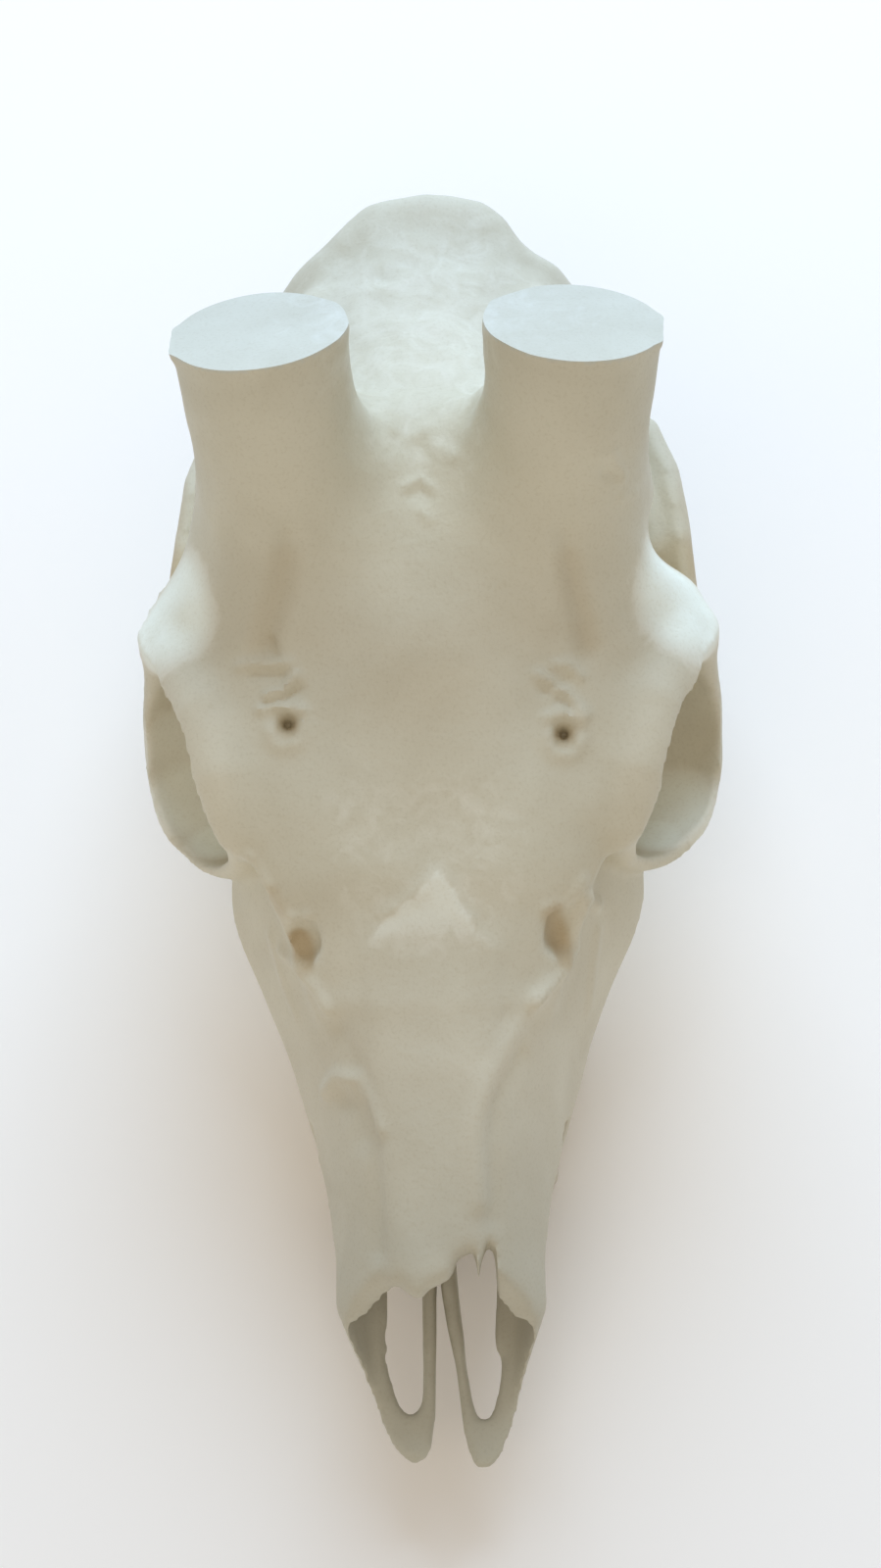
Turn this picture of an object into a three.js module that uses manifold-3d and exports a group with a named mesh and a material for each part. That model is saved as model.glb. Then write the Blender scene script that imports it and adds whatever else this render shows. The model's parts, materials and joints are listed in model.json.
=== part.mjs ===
// Deer skull model: the cranium of a buck without its lower jaw, for teaching, standing on its teeth.
// The antler stumps are sawn flat. Every bone is its own solid and meets its neighbours at the sutures.
//
// Millimetres. +Z is up, the snout points along -Y, and +X is the skull's left side as it faces -Y.
// While the skull is shaped, y runs back from the snout's tips and z up from the table.
// The last lines move it so that the origin is the middle of its footprint.

import * as THREE from 'three';
import { mergeVertices } from 'three/addons/utils/BufferGeometryUtils.js';
import Module from 'manifold-3d';

const wasm = await Module();
wasm.setup();

// Driving dimensions

const skullLength = 276; // from the snout's tips to the back of the neck joint
const skullWidth = 124; // across the cheek bones under the eyes
const foreheadHeight = 112; // from the table to the forehead's highest point

const wall = 4.2; // the bone shell around the nose
const brainWall = 5; // the bone shell around the brain
const sutureGap = 0.3; // between two neighbouring bones
const slotClearance = 0.3; // between a tooth and its socket, and around the other inset pieces
const overrun = 20; // how far a cutter reaches past what it cuts

const pedicleRadius = 17.6; // the antler stump's sawn face
const pedicleWaist = 16.9; // the stump's radius under the sawn face
const pedicleFootRadius = 15;
const pedicleLength = 50; // from inside the forehead to the sawn face
const pedicleSpread = 62; // between the centres of the two sawn faces

const rimThickness = 7.6; // the ring of bone around the eye
const archThickness = 5.6; // the cheek bar, side to side
const archHeight = 9.5;
const socketRadius = 20.5; // the eye's hollow
const cupWall = 2.6; // the cup of thin bone under and behind the eye
const browHoleRadius = 2.2; // the hole in the brow for its nerve
const tearPitRadius = 3; // the pit between the brow and the nose
const neckHoleRadius = 10.5; // where the spinal cord leaves
const nostrilBridge = 4; // the rod between the palate slot and the midline
const palateSlotWidth = 6.4;
const palateSlotRear = 3.4; // the bone left between a slot and the suture behind it
const palateThickness = 4.6;
const vomerThickness = 2.4;
const condyleRadius = 9;
const neckProcessRadius = 4.6; // the peg beside the neck joint that the skull stands on
const neckFootRadius = 2.6;

const toothRowStart = 65.5; // from the snout's tips to the first tooth
const toothRowHalf = 25.4; // from the midline to the middle of the tooth row
const premolarLength = 11;
const premolarWidth = 9.5;
const molarLength = 14;
const molarWidth = 13.5;
const toothGap = 0.6;
const crownLength = 11.5; // from the table up to the tooth's neck
const crownGroove = 2; // the valley along the chewing face
const rootDepth = 6;
const rootInset = 1.3; // how much slimmer the root is than the crown
const bullaRadius = 8.5; // the ear's bony bulb, across

const cell = 7.2; // the grid that the big forms are skinned on
const fineCell = 4.6; // where the form is thin
const hollowCell = 10;

const halfWidth = skullWidth / 2;

// Places. Shares of the length, the half width and the crown height give a point on the skull.

const back = (share) => share * skullLength;
const side = (share) => share * halfWidth;
const up = (share) => share * foreheadHeight;
const place = ([x, y, z]) => new THREE.Vector3(side(x), back(y), up(z));

// Implicit forms. A form is a function of a point that is negative inside it, in millimetres.

const { min, max, abs, hypot, pow, sqrt, round } = Math;

function blend(a, b, radius) {
  const overlap = max(radius - abs(a - b), 0) / radius;
  return min(a, b) - overlap * overlap * radius / 4;
}

const carveOut = (a, b, radius) => -blend(-a, b, radius);

// A smooth curve through a table's rows: the first column is where, the others are what.
function splineRow(rows, at) {
  const last = rows.length - 1;
  if (at <= rows[0][0]) return rows[0];
  if (at >= rows[last][0]) return rows[last];
  let i = 0;
  while (rows[i + 1][0] < at) i += 1;
  const [a, b] = [rows[i], rows[i + 1]];
  const before = rows[max(i - 1, 0)];
  const after = rows[min(i + 2, last)];
  const span = b[0] - a[0];
  const t = (at - a[0]) / span;
  return a.map((value, k) => {
    const slopeA = (b[k] - before[k]) / (b[0] - before[0]) * span;
    const slopeB = (after[k] - value) / (after[0] - a[0]) * span;
    const t2 = t * t;
    const t3 = t2 * t;
    return (2 * t3 - 3 * t2 + 1) * value + (t3 - 2 * t2 + t) * slopeA
      + (3 * t2 - 2 * t3) * b[k] + (t3 - t2) * slopeB;
  });
}

// A body drawn through cross-sections. Each row of shares holds the place along the skull, the half
// widths at its bottom, middle and top, and those three heights. Inset makes it smaller all round.
function loft(shares, squareness, inset = 0) {
  const rows = shares.map(([y, low, mid, high, bottom, middle, top]) => [
    back(y), side(low) - inset, side(mid) - inset, side(high) - inset,
    up(bottom) + inset, up(middle), up(top) - inset,
  ]);
  const start = rows[0][0] + inset;
  const end = rows[rows.length - 1][0] - inset;
  return (x, y, z) => {
    const [, low, mid, high, bottom, middle, top] = splineRow(rows, y);
    const above = z > middle;
    const reach = max(above ? top - middle : middle - bottom, sutureGap);
    const t = abs(z - middle) / reach;
    const width = max(mid + ((above ? high : low) - mid) * min(t, 1), sutureGap);
    const ring = pow(pow(abs(x) / width, squareness) + pow(t, squareness), 1 / squareness) - 1;
    return -blend(-ring * min(width, reach), -max(start - y, y - end), reach / 2);
  };
}

function ball(centre, radii) {
  return (x, y, z) => {
    const p = [abs(x) - centre.x, y - centre.y, z - centre.z];
    const k = hypot(p[0] / radii[0], p[1] / radii[1], p[2] / radii[2]);
    const g = hypot(p[0] / radii[0] ** 2, p[1] / radii[1] ** 2, p[2] / radii[2] ** 2);
    return g ? k * (k - 1) / g : -min(...radii);
  };
}

// A limb runs through points with a radius at each. Flatness squeezes its section side to side.
function limb(joints, flatness = 1) {
  return (x, y, z) => {
    let nearest = Infinity;
    for (let i = 0; i + 1 < joints.length; i += 1) {
      const [a, ra] = joints[i];
      const [b, rb] = joints[i + 1];
      const d = [(b.x - a.x) * flatness, b.y - a.y, b.z - a.z];
      const p = [(abs(x) - a.x) * flatness, y - a.y, z - a.z];
      const along = (p[0] * d[0] + p[1] * d[1] + p[2] * d[2]) / (d[0] ** 2 + d[1] ** 2 + d[2] ** 2);
      const t = min(max(along, 0), 1);
      const away = hypot(p[0] - d[0] * t, p[1] - d[1] * t, p[2] - d[2] * t);
      nearest = min(nearest, (away - ra - (rb - ra) * t) / sqrt(flatness));
    }
    return nearest;
  };
}

// Grid lines between stops. Each stop holds where it starts and the step from there on.
function ticks(stops) {
  const lines = [];
  for (let i = 0; i + 1 < stops.length; i += 1) {
    const span = stops[i + 1][0] - stops[i][0];
    const count = max(round(span / stops[i][1]), 1);
    for (let j = 0; j < count; j += 1) lines.push(stops[i][0] + span * j / count);
  }
  lines.push(stops[stops.length - 1][0]);
  return lines;
}

// The skin of a form: one vertex in each grid cell that the surface crosses, moved onto the surface,
// and one quad round each grid edge that it crosses.
function skin(form, lines) {
  const n = lines.map((line) => line.length);
  const at = (i, j, k) => (k * n[1] + j) * n[0] + i;
  const value = new Float32Array(n[0] * n[1] * n[2]);
  for (let k = 0; k < n[2]; k += 1) {
    for (let j = 0; j < n[1]; j += 1) {
      for (let i = 0; i < n[0]; i += 1) value[at(i, j, k)] = form(lines[0][i], lines[1][j], lines[2][k]);
    }
  }
  const corners = [0, 1, 2, 3, 4, 5, 6, 7].map((c) => [c & 1, c >> 1 & 1, c >> 2]);
  fillPinches(value, corners.map((c) => at(...c)));
  const edges = [];
  corners.forEach((a, i) => corners.forEach((b, j) => {
    if (i < j && hypot(a[0] - b[0], a[1] - b[1], a[2] - b[2]) === 1) edges.push([i, j]);
  }));
  const positions = [];
  const vertexOf = new Map();
  for (let k = 0; k + 1 < n[2]; k += 1) {
    for (let j = 0; j + 1 < n[1]; j += 1) {
      for (let i = 0; i + 1 < n[0]; i += 1) {
        const v = corners.map((c) => value[at(i + c[0], j + c[1], k + c[2])]);
        if (v.every((f) => f < 0) || v.every((f) => f >= 0)) continue;
        const sum = [0, 0, 0];
        let crossings = 0;
        for (const [a, b] of edges) {
          if (v[a] < 0 === v[b] < 0) continue;
          const t = v[a] / (v[a] - v[b]);
          crossings += 1;
          for (const axis of [0, 1, 2]) {
            sum[axis] += corners[a][axis] + t * (corners[b][axis] - corners[a][axis]);
          }
        }
        const grid = [i, j, k];
        const sizes = grid.map((g, axis) => lines[axis][g + 1] - lines[axis][g]);
        const point = sum.map((s, axis) => lines[axis][grid[axis]] + s / crossings * sizes[axis]);
        vertexOf.set(at(i, j, k), positions.length / 3);
        positions.push(...ontoSurface(form, point, sizes.map((size) => size * 0.4)));
      }
    }
  }
  const faces = [];
  const steps = [[1, 0, 0], [0, 1, 0], [0, 0, 1]];
  for (let k = 1; k + 1 < n[2]; k += 1) {
    for (let j = 1; j + 1 < n[1]; j += 1) {
      for (let i = 1; i + 1 < n[0]; i += 1) {
        const here = value[at(i, j, k)] < 0;
        steps.forEach((step, axis) => {
          if (here === value[at(i + step[0], j + step[1], k + step[2])] < 0) return;
          const u = steps[(axis + 1) % 3];
          const w = steps[(axis + 2) % 3];
          const cellAt = (a, b) => vertexOf.get(
            at(i - a * u[0] - b * w[0], j - a * u[1] - b * w[1], k - a * u[2] - b * w[2]),
          );
          const quad = [cellAt(1, 1), cellAt(0, 1), cellAt(0, 0), cellAt(1, 0)];
          if (!here) quad.reverse();
          faces.push(quad[0], quad[1], quad[2], quad[0], quad[2], quad[3]);
        });
      }
    }
  }
  const geometry = new THREE.BufferGeometry();
  geometry.setAttribute('position', new THREE.Float32BufferAttribute(positions, 3));
  geometry.setIndex(faces);
  return solid(geometry);
}

// Where the form only touches itself across a grid square's or a cell's diagonal, one more corner is
// taken inside, so that the skin is never pinched.
function fillPinches(value, offsets) {
  const squares = [[0, 1, 3, 2], [4, 5, 7, 6], [0, 1, 5, 4], [2, 3, 7, 6], [0, 2, 6, 4], [1, 3, 7, 5]];
  const fill = (spots) => {
    const outside = spots.filter((spot) => value[spot] >= 0);
    const nearest = outside.reduce((a, b) => (value[a] < value[b] ? a : b));
    value[nearest] = -sutureGap;
  };
  let changed = true;
  while (changed) {
    changed = false;
    for (let spot = 0; spot + offsets[7] < value.length; spot += 1) {
      const inside = offsets.map((offset) => value[spot + offset] < 0);
      for (const [a, b, c, d] of squares) {
        if (inside[a] !== inside[c] || inside[b] !== inside[d] || inside[a] === inside[b]) continue;
        fill([a, b, c, d].map((corner) => spot + offsets[corner]));
        changed = true;
        break;
      }
      const count = inside.filter(Boolean).length;
      const opposite = [0, 1, 2, 3].some((a) => inside[a] === inside[7 - a] && inside[a] === (count === 2));
      if (!changed && opposite && (count === 2 || count === 6)) {
        fill(offsets.map((offset) => spot + offset));
        changed = true;
      }
    }
  }
}

function ontoSurface(form, point, limits) {
  const probe = min(...limits) / 20;
  const moved = [...point];
  for (let pass = 0; pass < 2; pass += 1) {
    const here = form(...moved);
    const slope = [0, 1, 2].map((axis) => {
      const [ahead, behind] = [[...moved], [...moved]];
      ahead[axis] += probe;
      behind[axis] -= probe;
      return (form(...ahead) - form(...behind)) / probe / 2;
    });
    const steep = max(slope[0] ** 2 + slope[1] ** 2 + slope[2] ** 2, 0.3);
    for (const axis of [0, 1, 2]) {
      const next = moved[axis] - here * slope[axis] / steep;
      moved[axis] = min(max(next, point[axis] - limits[axis]), point[axis] + limits[axis]);
    }
  }
  return moved;
}

// Solids

// A rod of oval section along a smooth curve. Its reach is given along one direction and aside of it.
function sweep(points, across, reach, aside, pieces, endShare = 1, sides = 8) {
  const curve = new THREE.CatmullRomCurve3(points);
  const positions = [];
  const faces = [];
  const end = pieces * sides;
  for (let i = 0; i <= pieces; i += 1) {
    const centre = curve.getPoint(i / pieces);
    const ahead = curve.getTangent(i / pieces);
    const b = ahead.clone().cross(across).normalize();
    const a = b.clone().cross(ahead);
    const size = 1 + (endShare - 1) * i / pieces;
    for (let j = 0; j < sides; j += 1) {
      const angle = j / sides * Math.PI * 2;
      const offset = a.clone().multiplyScalar(reach * size * Math.cos(angle));
      offset.addScaledVector(b, aside * size * Math.sin(angle));
      positions.push(...offset.add(centre));
      const [p, q] = [i * sides + j, i * sides + (j + 1) % sides];
      if (i < pieces) faces.push(p, q + sides, p + sides, p, q, q + sides);
    }
  }
  for (let j = 1; j + 1 < sides; j += 1) faces.push(0, j + 1, j, end, end + j, end + j + 1);
  const geometry = new THREE.BufferGeometry();
  geometry.setAttribute('position', new THREE.Float32BufferAttribute(positions, 3));
  geometry.setIndex(faces);
  return solid(geometry);
}

function solid(geometry) {
  const bare = geometry.clone();
  bare.deleteAttribute('normal');
  bare.deleteAttribute('uv');
  const merged = mergeVertices(bare, sutureGap / 1000);
  return new wasm.Manifold(new wasm.Mesh({
    numProp: 3,
    vertProperties: merged.attributes.position.array,
    triVerts: new Uint32Array(merged.index.array),
  }));
}

function geometryOf(body) {
  const mesh = body.getMesh();
  const geometry = new THREE.BufferGeometry();
  geometry.setAttribute('position', new THREE.BufferAttribute(mesh.vertProperties, 3));
  geometry.setIndex(new THREE.BufferAttribute(mesh.triVerts, 1));
  return geometry;
}

// The saw leaves chips: the bone is the largest piece.
const largest = (body) => body.decompose().reduce((a, b) => (a.volume() > b.volume() ? a : b));

// Moves each edge of an outline outwards by a distance.
function grown(points, distance) {
  const outwards = THREE.ShapeUtils.isClockWise(points) ? -distance : distance;
  return points.map((point, i) => {
    const before = points[(i + points.length - 1) % points.length];
    const after = points[(i + 1) % points.length];
    const a = point.clone().sub(before).normalize();
    const b = after.clone().sub(point).normalize();
    const mitre = new THREE.Vector2(a.y + b.y, -a.x - b.x);
    return point.clone().addScaledVector(mitre, outwards / (1 + a.dot(b)));
  });
}

// A prism on an outline drawn in the side view, from one x to another.
function sidePrism(points, from, to) {
  const geometry = new THREE.ExtrudeGeometry(new THREE.Shape(points), {
    depth: to - from, bevelEnabled: false,
  });
  const turned = new THREE.Matrix4().set(0, 0, 1, from, 1, 0, 0, 0, 0, 1, 0, 0, 0, 0, 0, 1);
  return solid(geometry.applyMatrix4(turned));
}

// A prism on an outline drawn from above, from one height to another.
function planPrism(points, from, to) {
  const geometry = new THREE.ExtrudeGeometry(new THREE.Shape(points), {
    depth: to - from, bevelEnabled: false,
  });
  return solid(geometry.translate(0, 0, from));
}

const sidePoints = (shares) => shares.map(([y, z]) => new THREE.Vector2(back(y), up(z)));
const planPoints = (shares) => shares.map(([x, y]) => new THREE.Vector2(side(x), back(y)));

// The nose and upper jaw, from the snout's tips to behind the last tooth

const faceShares = [
  [-0.050, 0.20, 0.220, 0.20, 0.150, 0.190, 0.250],
  [0.020, 0.24, 0.270, 0.22, 0.147, 0.220, 0.330],
  [0.055, 0.26, 0.300, 0.22, 0.144, 0.260, 0.410],
  [0.100, 0.29, 0.342, 0.20, 0.140, 0.320, 0.480],
  [0.150, 0.29, 0.349, 0.22, 0.135, 0.345, 0.518],
  [0.200, 0.31, 0.385, 0.26, 0.125, 0.350, 0.565],
  [0.250, 0.42, 0.442, 0.31, 0.100, 0.340, 0.612],
  [0.300, 0.49, 0.506, 0.36, 0.094, 0.350, 0.661],
  [0.350, 0.53, 0.597, 0.42, 0.094, 0.370, 0.708],
  [0.400, 0.55, 0.692, 0.46, 0.094, 0.400, 0.755],
  [0.440, 0.56, 0.708, 0.44, 0.094, 0.410, 0.780],
  [0.480, 0.56, 0.620, 0.40, 0.096, 0.400, 0.760],
  [0.535, 0.53, 0.540, 0.36, 0.104, 0.380, 0.700],
];

// The brain's case and the narrow part of the skull between the eyes

const caseShares = [
  [0.400, 0.20, 0.34, 0.40, 0.380, 0.590, 0.740],
  [0.500, 0.20, 0.36, 0.46, 0.360, 0.610, 0.840],
  [0.580, 0.26, 0.42, 0.52, 0.330, 0.610, 0.915],
  [0.645, 0.36, 0.53, 0.58, 0.310, 0.620, 0.960],
  [0.710, 0.42, 0.58, 0.58, 0.300, 0.620, 0.985],
  [0.780, 0.45, 0.605, 0.52, 0.275, 0.600, 0.925],
  [0.850, 0.45, 0.615, 0.44, 0.250, 0.560, 0.850],
  [0.905, 0.44, 0.590, 0.34, 0.235, 0.500, 0.790],
  [0.945, 0.38, 0.500, 0.24, 0.230, 0.460, 0.750],
  [0.962, 0.32, 0.380, 0.18, 0.230, 0.450, 0.730],
];

// The forehead spreads over the eyes as a shelf

const browShares = [
  [0.318, 0.16, 0.26, 0.22, 0.520, 0.570, 0.610],
  [0.352, 0.22, 0.38, 0.32, 0.560, 0.620, 0.668],
  [0.384, 0.34, 0.50, 0.42, 0.590, 0.660, 0.718],
  [0.412, 0.46, 0.60, 0.50, 0.620, 0.700, 0.757],
  [0.442, 0.54, 0.670, 0.56, 0.650, 0.740, 0.795],
  [0.482, 0.58, 0.730, 0.60, 0.680, 0.765, 0.835],
  [0.522, 0.62, 0.775, 0.62, 0.690, 0.770, 0.880],
  [0.552, 0.66, 0.820, 0.64, 0.670, 0.765, 0.908],
  [0.574, 0.70, 0.880, 0.67, 0.650, 0.735, 0.924],
  [0.592, 0.74, 0.945, 0.70, 0.630, 0.710, 0.937],
  [0.608, 0.74, 0.945, 0.70, 0.620, 0.700, 0.948],
  [0.634, 0.70, 0.885, 0.72, 0.620, 0.700, 0.966],
  [0.655, 0.66, 0.810, 0.72, 0.640, 0.740, 0.980],
  [0.690, 0.60, 0.720, 0.70, 0.700, 0.800, 1.000],
  [0.720, 0.54, 0.660, 0.62, 0.760, 0.840, 0.990],
];

// The ring of bone round the eye, as a loop of places

const rimShares = [
  [0.640, 0.430, 0.600], [0.630, 0.434, 0.700], [0.680, 0.468, 0.770],
  [0.750, 0.515, 0.790], [0.835, 0.565, 0.745], [0.915, 0.582, 0.655], [0.938, 0.560, 0.555],
  [0.932, 0.515, 0.490], [0.865, 0.475, 0.455], [0.735, 0.448, 0.480],
];

// The cheek bar, from under the eye back to the jaw joint

const archShares = [
  [0.900, 0.500, 0.470], [0.925, 0.550, 0.490], [0.912, 0.610, 0.495], [0.888, 0.660, 0.505],
  [0.868, 0.710, 0.515], [0.840, 0.755, 0.530], [0.780, 0.790, 0.540], [0.560, 0.815, 0.540],
];

// The crown falls in an even fan to the nape's crest

const napeShares = [
  [0.800, 0.30, 0.45, 0.46, 0.500, 0.620, 0.840],
  [0.860, 0.30, 0.46, 0.44, 0.500, 0.600, 0.800],
  [0.900, 0.30, 0.45, 0.36, 0.480, 0.590, 0.768],
  [0.930, 0.28, 0.34, 0.26, 0.480, 0.590, 0.750],
  [0.954, 0.18, 0.22, 0.18, 0.480, 0.580, 0.742],
];

// The crest that the neck pulls on, from the top of the head down to behind the ear

const crestShares = [
  [0.00, 0.955, 0.742], [0.18, 0.948, 0.732], [0.34, 0.918, 0.700],
  [0.50, 0.886, 0.640], [0.56, 0.885, 0.520], [0.54, 0.895, 0.380],
];
const crestRadius = 3;

// The antler stump leans out, back and up from the forehead

const pedicleLeanShares = [0.08, 0.56, 0.83];
const pedicleTop = new THREE.Vector3(pedicleSpread / 2, back(0.728), up(1.24));
const pedicleAxis = new THREE.Vector3(...pedicleLeanShares).normalize();
const alongPedicle = (distance) => pedicleTop.clone().addScaledVector(pedicleAxis, distance);

const socketCentre = place([0.745, 0.500, 0.605]);
const cupFacingShares = [0.78, -0.32, 0.54]; // the way the eye's cup opens

const limbOf = (shares, radius, flatness) => limb(shares.map((row) => [place(row), radius]), flatness);
const closedLoop = (shares) => [...shares, shares[0]];

// The sutures as the side view shows them. Each junction is shared by the bones that meet there.

const junctionShares = {
  frontLow: [-0.10, -0.10], frontHigh: [-0.10, 1.60],
  snoutLow: [0.188, -0.10], snoutPalate: [0.188, 0.180], snoutSide: [0.160, 0.300],
  snoutTop: [0.240, 0.540], snoutHigh: [0.240, 1.60],
  tearHigh: [0.333, 1.60], tearTop: [0.333, 0.680], tearBack: [0.377, 0.670], eyeFront: [0.428, 0.730],
  eyeHollowFront: [0.470, 0.660], eyeHollow: [0.507, 0.555], eyeHollowLow: [0.457, 0.500],
  cheekFront: [0.402, 0.440], tearFront: [0.355, 0.540],
  cheekLow: [0.428, 0.330], cheekBack: [0.530, 0.265], toothBackLow: [0.545, -0.10],
  toothBack: [0.545, 0.240], palateWall: [0.507, 0.410], palateLow: [0.486, -0.10],
  palateEdge: [0.486, 0.255],
  postTop: [0.558, 0.640], postBack: [0.620, 0.640], barTop: [0.640, 0.555], barSplit: [0.688, 0.430],
  barLow: [0.688, 0.300], wallLow: [0.545, 0.440], wallBack: [0.609, 0.440],
  wingTop: [0.640, 0.555], wingBack: [0.688, 0.535], wingLow: [0.710, 0.390],
  keelFront: [0.609, -0.10], keelBackLow: [0.826, -0.10], keelBack: [0.826, 0.340],
  crownSide: [0.674, 0.750], crownTop: [0.746, 0.955], crownBehind: [0.815, 1.090],
  crownOut: [0.942, 1.60],
  templeMid: [0.746, 0.730], templeBack: [0.826, 0.715], napeSide: [0.898, 0.730],
  napeTop: [0.920, 0.900], napeOut: [1.00, 1.60],
  earTop: [0.906, 0.590], earBack: [0.913, 0.410], earLow: [0.890, 0.270], baseSide: [0.826, 0.200],
  endHigh: [1.10, 1.60], endLow: [1.10, -0.10],
  barEndLow: [0.860, 0.300], barEnd: [0.860, 0.625],
};
const junction = (name) => new THREE.Vector2(back(junctionShares[name][0]), up(junctionShares[name][1]));

// The cranium's outside, before it is drilled and hollowed

function outsideForm() {
  const face = loft(faceShares, 3.2);
  const braincase = loft(caseShares, 2.5);
  const brow = loft(browShares, 2.8);
  const nape = loft(napeShares, 3);
  const rim = limbOf(closedLoop(rimShares), rimThickness / 2);
  const arch = limbOf(archShares, archHeight / 2, archHeight / archThickness);
  const crest = limbOf(crestShares, crestRadius);
  const stump = limb([
    [alongPedicle(-pedicleLength), pedicleFootRadius],
    [alongPedicle(-pedicleLength / 4), pedicleWaist],
    [alongPedicle(0), pedicleRadius],
    [alongPedicle(overrun / 2), pedicleRadius],
  ]);
  const cupBall = ball(socketCentre, [0, 1, 2].map(() => socketRadius + cupWall));
  const facing = new THREE.Vector3(...cupFacingShares).normalize();
  const cup = (x, y, z) => {
    const outwards = facing.x * (abs(x) - socketCentre.x) + facing.y * (y - socketCentre.y)
      + facing.z * (z - socketCentre.z);
    return max(cupBall(x, y, z), outwards - socketRadius * 0.06, side(0.52) - abs(x));
  };
  const base = limb([
    [place([0, 0.930, 0.235]), up(0.075)], [place([0, 0.780, 0.280]), up(0.070)],
    [place([0, 0.640, 0.340]), up(0.065)], [place([0, 0.560, 0.390]), up(0.060)],
  ]);
  return (x, y, z) => {
    let f = blend(face(x, y, z), braincase(x, y, z), up(0.10));
    f = blend(f, brow(x, y, z), up(0.07));
    f = blend(f, rim(x, y, z), up(0.06));
    f = blend(f, cup(x, y, z), up(0.03));
    f = blend(f, arch(x, y, z), up(0.05));
    f = blend(f, nape(x, y, z), up(0.03));
    f = blend(f, crest(x, y, z), up(0.05));
    f = blend(f, stump(x, y, z), up(0.14));
    return blend(f, base(x, y, z), up(0.06));
  };
}

// The hollows: the nose, the brain's room with its hole for the spinal cord, and the mouth's roof

function noseForm() {
  const face = loft(faceShares, 3.2, wall);
  const throat = loft(caseShares, 2.5, brainWall);
  const spared = ball(socketCentre, [0, 1, 2].map(() => socketRadius + wall));
  return (x, y, z) => {
    const floor = up(0.19 + 0.035 * min(max(y / back(0.25), 0), 1)) - z;
    const front = max(face(x, y, z), floor, y - back(0.52));
    const rear = max(throat(x, y, z), up(0.42) - z, z - up(0.74), y - back(0.60), back(0.43) - y);
    return max(blend(front, rear, up(0.05)), -spared(x, y, z));
  };
}

function brainForm() {
  const room = loft(caseShares, 2.3, brainWall);
  return (x, y, z) => max(room(x, y, z), up(0.37) - z, back(0.635) - y, y - back(0.925));
}

// Each grid is finer where the cheek bars, the eyes' rims and the snout are thin.
const widest = max(side(1), pedicleTop.x + pedicleRadius);
const sideEnd = widest + fineCell * 2.5;
const frontEnd = back(faceShares[0][0]) - fineCell * 3;
const topEnd = pedicleTop.z + pedicleRadius + overrun / 2 + cell * 2;
const outsideLines = [
  ticks([
    [-sideEnd, fineCell], [-side(0.55), cell], [side(0.55), fineCell], [sideEnd],
  ]),
  ticks([
    [frontEnd, fineCell * 1.2], [back(0.12), cell * 1.6], [back(0.38), cell * 0.8],
    [back(0.62), cell * 1.2], [back(0.75), cell * 0.8], [back(0.97) + cell * 2.6],
  ]),
  ticks([
    [-cell * 1.5, cell], [up(0.38), cell * 0.75], [up(0.9), cell], [topEnd],
  ]),
];
const hollowSide = side(0.70) + hollowCell * 1.5;
const hollowLines = [
  ticks([[-hollowSide, hollowCell], [hollowSide]]),
  ticks([[back(-0.05) - hollowCell, hollowCell], [back(0.93) + hollowCell * 2.5]]),
  ticks([[up(0.19) - hollowCell * 2, hollowCell], [up(0.985) + hollowCell * 1.5]]),
];
const outside = skin(outsideForm(), outsideLines);
const noseRoom = skin(noseForm(), hollowLines);
const brainRoom = skin(brainForm(), hollowLines);

// Round drills and rods between two points

function rod(from, to, radius, sides = 12) {
  const length = from.distanceTo(to);
  const geometry = new THREE.CylinderGeometry(radius, radius, length, sides);
  const turn = new THREE.Quaternion().setFromUnitVectors(
    new THREE.Vector3(0, 1, 0), to.clone().sub(from).normalize(),
  );
  return solid(geometry.applyQuaternion(turn).translate(...from.clone().add(to).divideScalar(2)));
}

const mirrored = (body) => body.mirror([1, 0, 0]);
const bothSides = (body) => body.add(mirrored(body));

// The saw that takes the antlers off

function sawnOff() {
  const reach = overrun * 2;
  const box = new THREE.BoxGeometry(reach * 2, reach * 2, reach);
  const turn = new THREE.Quaternion().setFromUnitVectors(new THREE.Vector3(0, 0, 1), pedicleAxis);
  return solid(box.translate(0, 0, reach / 2).applyQuaternion(turn).translate(...pedicleTop));
}

// The opening at the front of the nose. The nose bones' tips are uneven and stand out over it.

const nasalLeftShares = [
  [0, 0.386], [-0.239, 0.341], [-0.215, 0.240], [-0.190, 0.145], [-0.150, 0.116],
  [-0.105, 0.107], [-0.061, 0.101], [0, 0.112],
];
const nasalRightShares = [
  [0, 0.386], [0.239, 0.341], [0.215, 0.240], [0.195, 0.150], [0.160, 0.139],
  [0.135, 0.121], [0.100, 0.127], [0.070, 0.128], [0.058, 0.115], [0, 0.112],
];
const nostrilShares = [
  [-0.10, 0.205], [0.000, 0.205], [0.043, 0.250], [0.090, 0.322], [0.108, 0.393],
  [0.120, 0.464], [0.128, 0.62], [-0.10, 0.62],
];
const nasalUnderside = up(0.42);

const nasalRegion = (shares, growth) => planPrism(
  grown(planPoints(shares), growth), nasalUnderside, foreheadHeight,
);

function nostril() {
  const tips = nasalRegion(nasalLeftShares, 0).add(nasalRegion(nasalRightShares, 0));
  return sidePrism(sidePoints(nostrilShares), -halfWidth, halfWidth).subtract(tips);
}

// The two slots in the palate, and the gap between the snout's tips

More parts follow.
